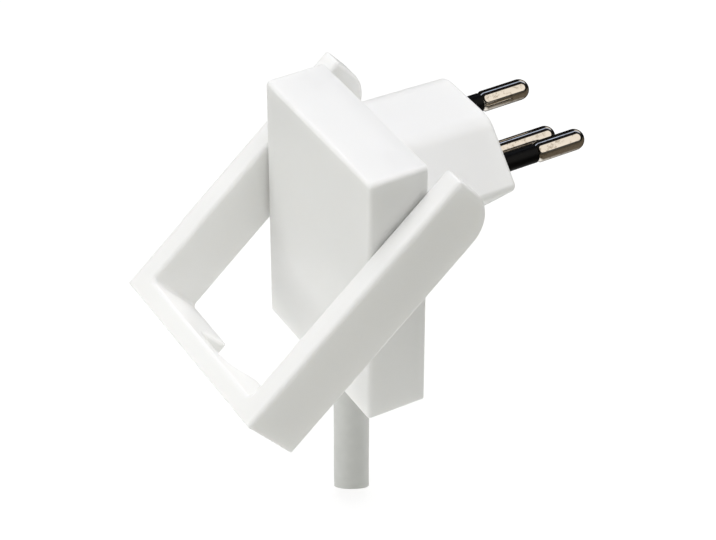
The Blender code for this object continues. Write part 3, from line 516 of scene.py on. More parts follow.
def glass_filled_nylon(name, dark, light):
    """Moulded nylon with short glass fibres: matt, with pale flecks drawn out by the flow."""
    finish, tree, shader, place = new_finish(name)
    shader.inputs["IOR"].default_value = 1.53
    # Fibres are about 0.3 mm long; the flow lays them along the pins
    flow = node(tree, "ShaderNodeMapping", {"Scale": (0.25, 1.0, 1.0)}, {"Vector": place})
    flecks = node(tree, "ShaderNodeTexNoise", {"Scale": 1 / (0.15 * MM), "Detail": 2.0},
                  {"Vector": flow.outputs[0]})
    pale = node(tree, "ShaderNodeMapRange", {1: 0.50, 2: 0.75}, {0: flecks.outputs["Fac"]})
    tint = node(tree, "ShaderNodeMix", {"data_type": "RGBA", 6: linear(dark), 7: linear(light)},
                {0: pale.outputs[0]})
    tree.links.new(tint.outputs[2], shader.inputs["Base Color"])
    gloss = node(tree, "ShaderNodeMapRange", {3: 0.48, 4: 0.60}, {0: flecks.outputs["Fac"]})
    tree.links.new(gloss.outputs[0], shader.inputs["Roughness"])
    bump = node(tree, "ShaderNodeBump", {"Strength": 0.3, "Distance": 0.02 * MM},
                {"Height": flecks.outputs["Fac"]})
    tree.links.new(bump.outputs[0], shader.inputs["Normal"])
    return finish


def zinc_plated_steel():
    """Bright zinc on rolled steel: bluish grey, with slow pale clouds of the passivation."""
    finish, tree, shader, place = new_finish("bright_zinc_plated_steel")
    shader.inputs["Metallic"].default_value = 1.0
    clouds = node(tree, "ShaderNodeTexNoise", {"Scale": 1 / (0.8 * MM), "Detail": 3.0},
                  {"Vector": place})
    tint = node(tree, "ShaderNodeMix",
                {"data_type": "RGBA", 6: linear("A9ACB0"), 7: linear("C9C8C2")},
                {0: clouds.outputs["Fac"]})
    tree.links.new(tint.outputs[2], shader.inputs["Base Color"])
    gloss = node(tree, "ShaderNodeMapRange", {3: 0.22, 4: 0.38}, {0: clouds.outputs["Fac"]})
    tree.links.new(gloss.outputs[0], shader.inputs["Roughness"])
    scratches = node(tree, "ShaderNodeTexNoise", {"Scale": 1 / (0.12 * MM), "Detail": 2.0},
                     {"Vector": place})
    bump = node(tree, "ShaderNodeBump", {"Strength": 0.1, "Distance": 0.004 * MM},
                {"Height": scratches.outputs["Fac"]})
    tree.links.new(bump.outputs[0], shader.inputs["Normal"])
    return finish


def stranded_copper():
    """Bare drawn copper: orange, with the ridges of 0.2 mm strands along it."""
    finish, tree, shader, place = new_finish("drawn_bare_copper")
    shader.inputs["Metallic"].default_value = 1.0
    clouds = node(tree, "ShaderNodeTexNoise", {"Scale": 1 / (0.6 * MM), "Detail": 2.0},
                  {"Vector": place})
    tint = node(tree, "ShaderNodeMix",
                {"data_type": "RGBA", 6: linear("C7754C"), 7: linear("E09A6E")},
                {0: clouds.outputs["Fac"]})
    tree.links.new(tint.outputs[2], shader.inputs["Base Color"])
    gloss = node(tree, "ShaderNodeMapRange", {3: 0.22, 4: 0.34}, {0: clouds.outputs["Fac"]})
    tree.links.new(gloss.outputs[0], shader.inputs["Roughness"])
    # One band for each 0.2 mm strand, slanting as the strands are twisted
    bands = 0.35 / (0.2 * MM)
    strands = node(tree, "ShaderNodeTexWave",
                   {"wave_type": "BANDS", "bands_direction": "DIAGONAL", "Scale": bands},
                   {"Vector": place})
    bump = node(tree, "ShaderNodeBump", {"Strength": 0.4, "Distance": 0.05 * MM},
                {"Height": strands.outputs["Fac"]})
    tree.links.new(bump.outputs[0], shader.inputs["Normal"])
    return finish


# Outlines: flat lists of points, walked round once

def rounded_polygon(corners, radii, steps=CORNER_STEPS):
    """The polygon's corners, each replaced by an arc of its own radius."""
    points = []
    for i, corner in enumerate(corners):
        corner = Vector(corner)
        if radii[i] <= 0:
            points.append(corner)
            continue
        before = (Vector(corners[i - 1]) - corner).normalized()
        after = (Vector(corners[(i + 1) % len(corners)]) - corner).normalized()
        half = before.angle(after) / 2
        centre = corner + (before + after).normalized() * radii[i] / math.sin(half)
        start = corner + before * radii[i] / math.tan(half) - centre
        turn = math.copysign(math.pi - 2 * half, before.y * after.x - before.x * after.y)
        for step in range(steps + 1):
            points.append(centre + Matrix.Rotation(turn * step / steps, 2) @ start)
    return points


def circle(radius, sides=SIDES):
    angles = [2 * math.pi * (i + 0.5) / sides for i in range(sides)]
    return [Vector((radius * math.cos(a), radius * math.sin(a))) for a in angles]


def edge_inset(radius, depth):
    """How far a rounded edge draws the outline in, at a depth below the face."""
    short = max(radius - depth, 0)
    return radius - math.sqrt(radius ** 2 - short ** 2)


def plate_outline(inset, foot_inset):
    half = PLATE_WIDTH / 2 - inset
    top = PLATE_TOP - inset
    foot = PLATE_BOTTOM + foot_inset
    head_radius = max(PLATE_CORNER_RADIUS - inset, FIT_GAP)
    foot_radius = max(PLATE_FOOT_RADIUS - inset, FIT_GAP)
    corners = [(half, foot), (half, top), (-half, top), (-half, foot)]
    return rounded_polygon(corners, [foot_radius, head_radius, head_radius, foot_radius])


def neck_outline(x, inset):
    """Six-sided, wider towards the flat body by the mould's draft."""
    inset += x * math.tan(NECK_DRAFT)
    height = NECK_HALF_HEIGHT - inset
    width = NECK_HALF_WIDTH - inset / math.sin(NECK_SLOPE)
    flat = width - height / math.tan(NECK_SLOPE)
    corners = [(width, 0), (flat, height), (-flat, height)]
    corners += [(-width, 0), (-flat, -height), (flat, -height)]
    crease = max(NECK_CREASE_RADIUS - inset, FIT_GAP)
    shoulder = max(NECK_SHOULDER_RADIUS - inset, FIT_GAP)
    return rounded_polygon(corners, [crease, shoulder, shoulder] * 2)


# Solids

def ring(outline, axis, place, centre=(0, 0)):
    a, b = centre
    if axis == "X":
        return [Vector((place, a + p.x, b + p.y)) for p in outline]
    if axis == "Y":
        return [Vector((a + p.x, place, b + p.y)) for p in outline]
    return [Vector((a + p.x, b + p.y, place)) for p in outline]


def loft(name, rings, closed=False):
    """A solid skinned through rings of equal count; closed joins the last to the first."""
    mesh = bmesh.new()
    rows = [[mesh.verts.new(point) for point in points] for points in rings]
    count = len(rows[0])
    pairs = list(zip(rows, rows[1:]))
    if closed:
        pairs.append((rows[-1], rows[0]))
    else:
        mesh.faces.new(rows[0])
        mesh.faces.new(rows[-1])
    for first, second in pairs:
        for i in range(count):
            j = (i + 1) % count
            mesh.faces.new((first[i], first[j], second[j], second[i]))
    bmesh.ops.recalc_face_normals(mesh, faces=mesh.faces)
    data = bpy.data.meshes.new(name)
    mesh.to_mesh(data)
    mesh.free()
    solid = bpy.data.objects.new(name, data)
    bpy.context.scene.collection.objects.link(solid)
    return solid


def prism(outline, axis, start, end, name="cutter"):
    return loft(name, [ring(outline, axis, start), ring(outline, axis, end)])


def box(x, y, z):
    """A block from its low and high place along each axis."""
    corners = [(y[1], z[0]), (y[1], z[1]), (y[0], z[1]), (y[0], z[0])]
    return prism([Vector(corner) for corner in corners], "X", *x)


def turned(profile, axis, centre=(0, 0), sides=SIDES, closed=False, name="cutter"):
    """A round solid from (place along the axis, radius) pairs."""
    rings = [ring(circle(radius, sides), axis, place, centre) for place, radius in profile]
    return loft(name, rings, closed)


def combine(target, cutters, operation):
    for cutter in cutters:
        change = target.modifiers.new(operation.title(), "BOOLEAN")
        change.operation = operation
        change.object = cutter
        change.solver = "EXACT"


def settled(target):
    """Applies the target's modifiers and removes the cutters that they used."""
    cutters = {m.object for m in target.modifiers if m.type == "BOOLEAN"}
    scene_state = bpy.context.evaluated_depsgraph_get()
    finished = bpy.data.meshes.new_from_object(target.evaluated_get(scene_state))
    target.modifiers.clear()
    target.data = finished
    for cutter in cutters:
        bpy.data.objects.remove(cutter, do_unlink=True)
    return target


def moved(piece, matrix):
    """Moves the piece's own mesh, so that its object stays at the origin."""
    piece.data.transform(matrix)
    return piece


def dress(piece, name, finish, body, *stands_for):
    """Names a piece, finishes it, and sets it on its body in place of its solids."""
    piece.name = name
    piece.data.name = name
    piece.data.materials.clear()
    piece.data.materials.append(finish)
    piece.data.shade_smooth()
    piece.data.set_sharp_from_angle(angle=SHARP_ANGLE)
    even = piece.modifiers.new("Even shading", "WEIGHTED_NORMAL")
    even.keep_sharp = True
    even.weight = 100
    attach(piece, body)
    if stands_for:
        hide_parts(*stands_for)
    return piece


# Repeated pieces, one on each loose point

def new_tree(name, inputs):
    """A geometry tree with its named inputs; returns it with the sockets that give them."""
    tree = bpy.data.node_groups.new(name, "GeometryNodeTree")
    tree.interface.new_socket("Geometry", in_out="INPUT", socket_type="NodeSocketGeometry")
    for label, kind in inputs.items():
        tree.interface.new_socket(label, in_out="INPUT", socket_type="NodeSocket" + kind)
    tree.interface.new_socket("Geometry", in_out="OUTPUT", socket_type="NodeSocketGeometry")
    return tree, node(tree, "NodeGroupInput").outputs


def finish_tree(tree, instances, material):
    real = node(tree, "GeometryNodeRealizeInstances", links={0: instances})
    painted = node(tree, "GeometryNodeSetMaterial",
                   links={"Geometry": real.outputs[0], "Material": material})
    node(tree, "NodeGroupOutput", links={0: painted.outputs[0]})
    return tree


def slotted_screw_tree():
    """One slotted screw on each point: a crowned head, and a rod shaped into a thread."""
    tree, given = new_tree("slotted_screw", {
        "Head Radius": "Float", "Head Height": "Float", "Shank Radius": "Float",
        "Shank Length": "Float", "Thread Pitch": "Float", "Thread Depth": "Float",
        "Slot Width": "Float", "Slot Depth": "Float", "Facing": "Vector", "Finish": "Material",
    })

    place = node(tree, "GeometryNodeInputPosition").outputs[0]
    x, y, z = node(tree, "ShaderNodeSeparateXYZ", links={0: place}).outputs
    # Thread: the rod's side moves in and out with its height and its turn about the axis
    rod = node(tree, "GeometryNodeMeshCylinder", {"Vertices": 28, "Side Segments": 56},
               {"Radius": given["Shank Radius"], "Depth": given["Shank Length"]})
    turn = node(tree, "ShaderNodeMath", {"operation": "ARCTAN2"}, {0: y, 1: x})
    around = node(tree, "ShaderNodeMath", {"operation": "DIVIDE", 1: 2 * math.pi},
                  {0: turn.outputs[0]})
    climb = node(tree, "ShaderNodeMath", {"operation": "DIVIDE"}, {0: z, 1: given["Thread Pitch"]})
    phase = node(tree, "ShaderNodeMath", {"operation": "SUBTRACT"},
                 {0: climb.outputs[0], 1: around.outputs[0]})
    half_ridge = node(tree, "ShaderNodeMath", {"operation": "PINGPONG", 1: 0.5},
                      {0: phase.outputs[0]})
    ridge = node(tree, "ShaderNodeMath", {"operation": "MULTIPLY", 1: 2.0},
                 {0: half_ridge.outputs[0]})
    depth = node(tree, "ShaderNodeMath", {"operation": "MULTIPLY"},
                 {0: ridge.outputs[0], 1: given["Thread Depth"]})
    share = node(tree, "ShaderNodeMath", {"operation": "DIVIDE"},
                 {0: depth.outputs[0], 1: given["Shank Radius"]})
    scale = node(tree, "ShaderNodeMath", {"operation": "SUBTRACT", 0: 1.0}, {1: share.outputs[0]})
    narrow = node(tree, "ShaderNodeCombineXYZ", {2: 1.0},
                  {0: scale.outputs[0], 1: scale.outputs[0]})
    shaped = node(tree, "ShaderNodeVectorMath", {"operation": "MULTIPLY"},
                  {0: place, 1: narrow.outputs[0]})
    threaded = node(tree, "GeometryNodeSetPosition",
                    links={"Geometry": rod.outputs["Mesh"], "Position": shaped.outputs[0]})
    drop = node(tree, "ShaderNodeMath", {"operation": "MULTIPLY", 1: -SHANK_DROP},
                {0: given["Shank Length"]})
    lowered = node(tree, "ShaderNodeCombineXYZ", {0: 0.0, 1: 0.0}, {2: drop.outputs[0]})
    shank = node(tree, "GeometryNodeTransform",
                 links={"Geometry": threaded.outputs[0], "Translation": lowered.outputs[0]})
    # Head: a disc whose upper face is crowned, and a slot sawn across it
    disc = node(tree, "GeometryNodeMeshCylinder",
                {"Vertices": 48, "Side Segments": 2, "Fill Segments": 5},
                {"Radius": given["Head Radius"], "Depth": given["Head Height"]})
    x_square = node(tree, "ShaderNodeMath", {"operation": "MULTIPLY"}, {0: x, 1: x})
    y_square = node(tree, "ShaderNodeMath", {"operation": "MULTIPLY"}, {0: y, 1: y})
    squares = node(tree, "ShaderNodeMath", {"operation": "ADD"},
                   {0: x_square.outputs[0], 1: y_square.outputs[0]})
    away = node(tree, "ShaderNodeMath", {"operation": "SQRT"}, {0: squares.outputs[0]})
    reach = node(tree, "ShaderNodeMath", {"operation": "DIVIDE"},
                 {0: away.outputs[0], 1: given["Head Radius"]})
    bend = node(tree, "ShaderNodeMath", {"operation": "MULTIPLY"},
                {0: reach.outputs[0], 1: reach.outputs[0]})
    rim_fall = node(tree, "ShaderNodeMath", {"operation": "MULTIPLY", 1: -SCREW_CROWN},
                    {0: given["Head Height"]})
    crown = node(tree, "ShaderNodeMath", {"operation": "MULTIPLY"},
                 {0: bend.outputs[0], 1: rim_fall.outputs[0]})
    fall = node(tree, "ShaderNodeCombineXYZ", {0: 0.0, 1: 0.0}, {2: crown.outputs[0]})
    quarter = node(tree, "ShaderNodeMath", {"operation": "MULTIPLY", 1: 0.25},
                   {0: given["Head Height"]})
    upper = node(tree, "FunctionNodeCompare", {"data_type": "FLOAT", "operation": "GREATER_THAN"},
                 {0: z, 1: quarter.outputs[0]})
    crowned = node(tree, "GeometryNodeSetPosition",
                   links={"Geometry": disc.outputs["Mesh"], "Selection": upper.outputs[0],
                          "Offset": fall.outputs[0]})
    saw_length = node(tree, "ShaderNodeMath", {"operation": "MULTIPLY", 1: 3.0},
                      {0: given["Head Radius"]})
    saw_depth = node(tree, "ShaderNodeMath", {"operation": "MULTIPLY", 1: 2.0},
                     {0: given["Slot Depth"]})
    saw_size = node(tree, "ShaderNodeCombineXYZ",
                    links={0: saw_length.outputs[0], 1: given["Slot Width"],
                           2: saw_depth.outputs[0]})
    saw = node(tree, "GeometryNodeMeshCube", links={"Size": saw_size.outputs[0]})
    half_height = node(tree, "ShaderNodeMath", {"operation": "MULTIPLY", 1: 0.5},
                       {0: given["Head Height"]})
    top = node(tree, "ShaderNodeCombineXYZ", {0: 0.0, 1: 0.0}, {2: half_height.outputs[0]})
    lifted_saw = node(tree, "GeometryNodeTransform",
                      links={"Geometry": saw.outputs["Mesh"], "Translation": top.outputs[0]})
    sawn = node(tree, "GeometryNodeMeshBoolean", {"operation": "DIFFERENCE", "solver": "EXACT"},
                {"Mesh 1": crowned.outputs[0], "Mesh 2": lifted_saw.outputs[0]})
    seated = node(tree, "GeometryNodeTransform",
                  links={"Geometry": sawn.outputs[0], "Translation": top.outputs[0]})
    whole = node(tree, "GeometryNodeMeshBoolean", {"operation": "UNION", "solver": "EXACT"},
                 {"Mesh 2": seated.outputs[0]})
    tree.links.new(shank.outputs[0], whole.inputs["Mesh 2"])
    stand = node(tree, "GeometryNodeInstanceOnPoints",
                 links={"Points": given["Geometry"], "Instance": whole.outputs[0],
                        "Rotation": given["Facing"]})
    # Each screw stops at its own turn; the seed is fixed
    stop = node(tree, "FunctionNodeRandomValue", {"data_type": "FLOAT", "Seed": 7, 3: math.pi})
    spin = node(tree, "ShaderNodeCombineXYZ", {0: 0.0, 1: 0.0}, {2: stop.outputs[1]})
    turned_in = node(tree, "GeometryNodeRotateInstances", {"Local Space": True},
                     {"Instances": stand.outputs[0], "Rotation": spin.outputs[0]})
    return finish_tree(tree, turned_in.outputs[0], given["Finish"])


def strand_tree():
    """One cut copper strand on each point, standing on it, each raised by a slightly other amount.
    """
    tree, given = new_tree("cut_strand", {
        "Strand Radius": "Float", "Strand Length": "Float", "Unevenness": "Float",
        "Finish": "Material",
    })
    rod = node(tree, "GeometryNodeMeshCylinder", {"Vertices": 10},
               {"Radius": given["Strand Radius"], "Depth": given["Strand Length"]})
    uneven = node(tree, "FunctionNodeRandomValue", {"data_type": "FLOAT", "Seed": 3},
                  {3: given["Unevenness"]})
    lift = node(tree, "ShaderNodeCombineXYZ", {0: 0.0, 1: 0.0}, {2: uneven.outputs[1]})
    spread = node(tree, "GeometryNodeSetPosition",
                  links={"Geometry": given["Geometry"], "Offset": lift.outputs[0]})
    stand = node(tree, "GeometryNodeInstanceOnPoints",
                 links={"Points": spread.outputs[0], "Instance": rod.outputs["Mesh"]})
    return finish_tree(tree, stand.outputs[0], given["Finish"])


def grown(name, tree, places, values):
    """Grows the tree on loose points at the places, and keeps the result as a plain mesh."""
    points = bpy.data.meshes.new(name)
    points.from_pydata([tuple(place) for place in places], [], [])
    piece = bpy.data.objects.new(name, points)
    bpy.context.scene.collection.objects.link(piece)
    grow = piece.modifiers.new("Grow", "NODES")
    grow.node_group = tree
    for socket in tree.interface.items_tree:
        if socket.in_out == "INPUT" and socket.name in values:
            grow[socket.identifier] = values[socket.name]
    return settled(piece)


def screw_sizes(head_radius, head_height, shank_radius, shank_length, facing, finish):
    return {
        "Head Radius": head_radius, "Head Height": head_height, "Shank Radius": shank_radius,
        "Shank Length": shank_length, "Thread Pitch": THREAD_PITCH, "Thread Depth": THREAD_DEPTH,
        "Slot Width": SCREW_SLOT_WIDTH, "Slot Depth": SCREW_SLOT_DEPTH, "Facing": facing,
        "Finish": finish,
    }


# Front housing

def neck_solid():
    rings = []
    for step in range(CORNER_STEPS + 1):
        angle = math.pi / 2 * (1 - step / CORNER_STEPS)
        x = NECK_EDGE_RADIUS * (math.sin(angle) - 1)
        inset = NECK_EDGE_RADIUS * (1 - math.cos(angle))
        rings.append(ring(neck_outline(x, inset), "X", x))
    for step in range(EDGE_STEPS + 1):
        angle = math.pi / 2 * step / EDGE_STEPS
        x = PLATE_FRONT + NECK_ROOT_RADIUS * (1 - math.sin(angle))
        inset = -NECK_ROOT_RADIUS * (1 - math.cos(angle))
        rings.append(ring(neck_outline(x, inset), "X", x))
    x = PLATE_FRONT - FRONT_WALL / 2
    rings.append(ring(neck_outline(x, 0), "X", x))
    return loft("cutter", rings)


def neck_cavity(front, rear, inset):
    return loft("cutter", [ring(neck_outline(x, inset), "X", x) for x in (front, rear)])


def housing_screw_places():
    from_edge = COVER_WALL + SEAT_GAP + SCREW_SEAT_RADIUS
    y = PLATE_WIDTH / 2 - from_edge
    return [(side * y, from_edge + PLATE_BOTTOM) for side in (1, -1)]


def clamp_screw_places():
    return [(side * CLAMP_SCREW_SPACING / 2, CLAMP_Z) for side in (1, -1)]


def hook_cutters(grow):
    top = PLATE_TOP - COVER_WALL - SEAT_GAP
    tip = FRONT_WALL_INSIDE - HOOK_LENGTH
    cutters = []
    for side in (1, -1):
        middle = side * (PLATE_WIDTH / 2 - COVER_WALL - SEAT_GAP - HOOK_WIDTH / 2)
        across = (middle - HOOK_WIDTH / 2 - grow, middle + HOOK_WIDTH / 2 + grow)
        along = (tip - grow, tip + HOOK_THICKNESS + grow)
        upright = (top - HOOK_THICKNESS / 2, top + HOOK_CATCH + grow)
        cutters.append(box(along, across, upright))
        if grow == 0:
            along = (tip, FRONT_WALL_INSIDE + FRONT_WALL / 2)
            cutters.append(box(along, across, (top - HOOK_THICKNESS, top)))
    return cutters


def front_housing():
    rim = COVER_RIM + FIT_GAP
    housing = prism(plate_outline(rim, rim), "X", FRONT_WALL_INSIDE, PLATE_FRONT,
                    "front_housing_shell")
    additions = [neck_solid()]
    cuts = [neck_cavity(-NECK_FACE_WALL, FRONT_WALL_INSIDE - OVERCUT, NECK_WALL)]
    lead = 0.25 * MM
    hole_radius = PIN_RADIUS + FIT_GAP
    for spot in PIN_PLACES.values():
        hole = [(-NECK_FACE_WALL - OVERCUT, hole_radius), (-lead, hole_radius)]
        hole += [(0, hole_radius + lead), (OVERCUT, hole_radius + lead)]
        cuts.append(turned(hole, "X", (spot.y, spot.z)))

    under = SCREW_SEAT - HOUSING_SEAT_WALL
    for spot in housing_screw_places():
        boss = [(under, SCREW_SEAT_RADIUS), (PLATE_FRONT - FRONT_WALL / 2, SCREW_SEAT_RADIUS)]
        additions.append(turned(boss, "X", spot))
        bore = HOUSING_SCREW_RADIUS + PASS_GAP
        well = [(under - OVERCUT, bore), (SCREW_SEAT, bore), (SCREW_SEAT, SCREW_WELL_RADIUS)]
        well += [(PLATE_FRONT - lead, SCREW_WELL_RADIUS), (PLATE_FRONT, SCREW_WELL_RADIUS + lead)]
        well.append((PLATE_FRONT + OVERCUT, SCREW_WELL_RADIUS + lead))
        cuts.append(turned(well, "X", spot))

    top = FRONT_WALL_INSIDE - CLAMP_POST_HEIGHT
    for spot in clamp_screw_places():
        outer = CLAMP_SCREW_RADIUS + SCREW_BOSS_WALL
        post = [(top, outer), (FRONT_WALL_INSIDE + FRONT_WALL / 2, outer)]
        additions.append(turned(post, "X", spot, SMALL_SIDES))
        bore = CLAMP_SCREW_RADIUS + FIT_GAP
        pilot = [(top - OVERCUT, bore), (FRONT_WALL_INSIDE - SEAT_GAP, bore)]
        cuts.append(turned(pilot, "X", spot, SMALL_SIDES))

    groove = CORD_RADIUS + FIT_GAP
    ends = (PLATE_BOTTOM - OVERCUT, CORD_TOP + SEAT_GAP)
    cuts.append(turned([(z, groove) for z in ends], "Z", (CORD_X, 0)))
    combine(housing, additions + hook_cutters(0), "UNION")
    combine(housing, cuts, "DIFFERENCE")
    return settled(housing)


# Rear cover

def cover_shell():
    rings = []
    for step in range(EDGE_STEPS + 1):
        angle = math.pi / 2 * (1 - step / EDGE_STEPS)
        depth = PLATE_FRONT_RADIUS * (1 - math.sin(angle))
        inset = edge_inset(PLATE_FRONT_RADIUS, depth)
        rings.append(ring(plate_outline(inset, inset), "X", PLATE_FRONT - depth))
    for step in range(CORNER_STEPS + 1):
        angle = math.pi / 2 * step / CORNER_STEPS
        depth = PLATE_REAR_RADIUS * (1 - math.sin(angle))
        insets = [edge_inset(radius, depth) for radius in (PLATE_REAR_RADIUS, PLATE_FOOT_RADIUS)]
        rings.append(ring(plate_outline(*insets), "X", PLATE_REAR + depth))
    return loft("rear_cover_tray", rings)


def rear_cover():
    cover = cover_shell()
    ledge = FRONT_WALL_INSIDE - FIT_GAP
    hollow = plate_outline(COVER_WALL, COVER_WALL)
    recess = plate_outline(COVER_RIM, COVER_RIM)
    cuts = [prism(hollow, "X", COVER_FLOOR, PLATE_FRONT + OVERCUT)]
    cuts.append(prism(recess, "X", ledge, PLATE_FRONT + OVERCUT))
    combine(cover, cuts, "DIFFERENCE")

    additions = []
    bores = hook_cutters(SEAT_GAP)
    pivot = (PIVOT_X, PIVOT_Z)
    bore_radius = TRUNNION_RADIUS + RUNNING_GAP
    bottom = HANDLE_INNER - TRUNNION_LENGTH - SEAT_GAP
    for side in (1, -1):
        outside = bore_radius + SOCKET_WALL
        places = (side * (bottom - SOCKET_FLOOR), side * (PLATE_WIDTH / 2 - COVER_WALL / 2))
        additions.append(turned([(y, outside) for y in places], "Y", pivot))
        places = (side * bottom, side * (PLATE_WIDTH / 2 + OVERCUT))
        bores.append(turned([(y, bore_radius) for y in places], "Y", pivot))

    top = SCREW_SEAT - HOUSING_SEAT_WALL - SEAT_GAP
    for spot in housing_screw_places():
        bore = HOUSING_SCREW_RADIUS + FIT_GAP
        boss = [(x, bore + SCREW_BOSS_WALL) for x in (COVER_FLOOR - COVER_WALL / 2, top)]
        additions.append(turned(boss, "X", spot, SMALL_SIDES))
        pilot = [(COVER_FLOOR - SEAT_GAP, bore), (top + OVERCUT, bore)]
        bores.append(turned(pilot, "X", spot, SMALL_SIDES))

    for side in (1, -1):
        spot = (side * HOLD_DOWN_SPACING / 2, HOLD_DOWN_Z)
        ends = (COVER_FLOOR - COVER_WALL / 2, CARRIER_REAR - SEAT_GAP)
        post = [(x, HOLD_DOWN_RADIUS) for x in ends]
        additions.append(turned(post, "X", spot, SMALL_SIDES))

    entry = CORD_RADIUS + FIT_GAP
    ends = (PLATE_BOTTOM - OVERCUT, PLATE_BOTTOM + COVER_WALL + OVERCUT)
    bores.append(turned([(z, entry) for z in ends], "Z", (CORD_X, 0)))
    combine(cover, additions, "UNION")
    combine(cover, bores, "DIFFERENCE")
    return settled(cover)


# Pull handle

def handle_side_outline():
    rear = -HANDLE_BEHIND_PIVOT
    front = HANDLE_AHEAD_OF_PIVOT
    tip = PLATE_TOP - PIVOT_Z
    inside = PLATE_BOTTOM - PIVOT_Z - CROSSBAR_GAP
    bottom = inside - CROSSBAR_THICKNESS
    corners = [(front + HANDLE_FRONT_DRAFT, bottom), (front, tip), (rear, tip), (rear, bottom)]
    return rounded_polygon(corners, [0, HANDLE_CAM_RADIUS, 0, 0], 2 * CORNER_STEPS)


def cord_slot_outline(front, grow):
    """The slot for the cord, seen along it; grow moves its wall outwards."""
    slot_end = CORD_X - CORD_RADIUS - SLOT_BOTTOM_ROOM - PIVOT_X - grow
    half = CORD_RADIUS + SLOT_SIDE_ROOM + grow
    mouth = front + SLIVER
    wide = CORD_RADIUS + SLOT_SIDE_ROOM + 2 * SLOT_MOUTH_RADIUS
    corners = [(mouth + OVERCUT, -wide), (mouth + OVERCUT, wide), (mouth, wide), (mouth, half)]
    corners += [(slot_end, half), (slot_end, -half), (mouth, -half), (mouth, -wide)]
    bottom_radius = SLOT_BOTTOM_RADIUS + grow
    mouth_radius = SLOT_MOUTH_RADIUS - grow
    radii = [0, 0, 0, mouth_radius, bottom_radius, bottom_radius, mouth_radius, 0]
    return rounded_polygon(corners, radii)


def cord_slot_cutter(front, bottom, inside):
    """The slot through the crossbar, with a rounded lip at its inner face."""
    rings = [ring(cord_slot_outline(front, 0), "Z", bottom - OVERCUT)]
    for step in range(EDGE_STEPS + 1):
        depth = SLOT_LIP_RADIUS * (1 - math.sin(math.pi / 2 * step / EDGE_STEPS))
        grow = edge_inset(SLOT_LIP_RADIUS, depth)
        rings.append(ring(cord_slot_outline(front, grow), "Z", inside - depth))
    rings.append(ring(cord_slot_outline(front, SLOT_LIP_RADIUS), "Z", inside + OVERCUT))
    return loft("cutter", rings)


def weigh_edges(handle, rear, bottom, tip):
    """Marks the edges that the mould rounds: widest round the rear face, then round the
    opening, and least at the crossbar's foot."""
    mesh = bmesh.new()
    mesh.from_mesh(handle.data)
    bmesh.ops.remove_doubles(mesh, verts=mesh.verts, dist=SLIVER / 10)
    weight = mesh.edges.layers.float.new("bevel_weight_edge")
    for edge in mesh.edges:
        if edge.calc_face_angle(0) < CORNER_ANGLE:
            continue
        middle = (edge.verts[0].co + edge.verts[1].co) / 2
        radius = HANDLE_EDGE_RADIUS
        if abs(middle.y) < HANDLE_INNER + SLIVER:
            radius = HANDLE_SOFT_RADIUS
        elif middle.x < rear + SLIVER and middle.z < tip - SLIVER:
            radius = HANDLE_REAR_RADIUS
        if middle.z < bottom + SLIVER:
            radius = HANDLE_FOOT_RADIUS
        edge[weight] = radius / HANDLE_REAR_RADIUS
    mesh.to_mesh(handle.data)
    mesh.free()


def step_rear_face(handle, height):
    """Moves the rear face forwards below a height: the mould's grip step."""
    mesh = bmesh.new()
    mesh.from_mesh(handle.data)
    for place in (height, height - HANDLE_STEP_RUN):
        parts = mesh.verts[:] + mesh.edges[:] + mesh.faces[:]
        bmesh.ops.bisect_plane(mesh, geom=parts, plane_co=(0, 0, place), plane_no=(0, 0, 1))
    behind = -HANDLE_BEHIND_PIVOT / 2
    for corner in mesh.verts:
        if corner.co.x < behind and corner.co.z < height - HANDLE_STEP_RUN / 2:
            corner.co.x += HANDLE_STEP_HEIGHT
    mesh.to_mesh(handle.data)
    mesh.free()


def pull_handle():
    """Built folded round its pivot, then swung open."""
    outline = handle_side_outline()
    handle = prism(outline, "Y", -HANDLE_OUTER, HANDLE_OUTER, "pull_handle_bail")
    front = max(point.x for point in outline)
    tip = max(point.y for point in outline)
    bottom = min(point.y for point in outline)
    inside = bottom + CROSSBAR_THICKNESS
    corners = [(HANDLE_INNER, inside), (HANDLE_INNER, tip + OVERCUT)]
    corners += [(-HANDLE_INNER, tip + OVERCUT), (-HANDLE_INNER, inside)]
    gap = rounded_polygon(corners, [HANDLE_INNER_RADIUS, 0, 0, HANDLE_INNER_RADIUS])
    combine(handle, [prism(gap, "X", -front - OVERCUT, front + OVERCUT)], "DIFFERENCE")
    settled(handle)
    weigh_edges(handle, -HANDLE_BEHIND_PIVOT, bottom, tip)
    soften = handle.modifiers.new("Soft edges", "BEVEL")
    soften.width = HANDLE_REAR_RADIUS
    soften.segments = EDGE_STEPS
    soften.limit_method = "WEIGHT"
    soften.use_clamp_overlap = False
    settled(handle)
    step_rear_face(handle, inside + HANDLE_STEP_FROM_CROSSBAR)
    combine(handle, [cord_slot_cutter(front, bottom, inside)], "DIFFERENCE")
    trunnions = []
    for side in (1, -1):
        end = HANDLE_INNER - TRUNNION_LENGTH
        profile = [(end, TRUNNION_RADIUS - TRUNNION_LEAD), (end + TRUNNION_LEAD, TRUNNION_RADIUS)]
        profile.append((HANDLE_INNER + ARM_THICKNESS / 2, TRUNNION_RADIUS))
        trunnions.append(turned([(side * y, r) for y, r in profile], "Y"))
    combine(handle, trunnions, "UNION")
    settled(handle)
    swing = Matrix.Translation((PIVOT_X, 0, PIVOT_Z)) @ Matrix.Rotation(OPEN_ANGLE, 4, "Y")
    return moved(handle, swing)


# Pins and sleeves

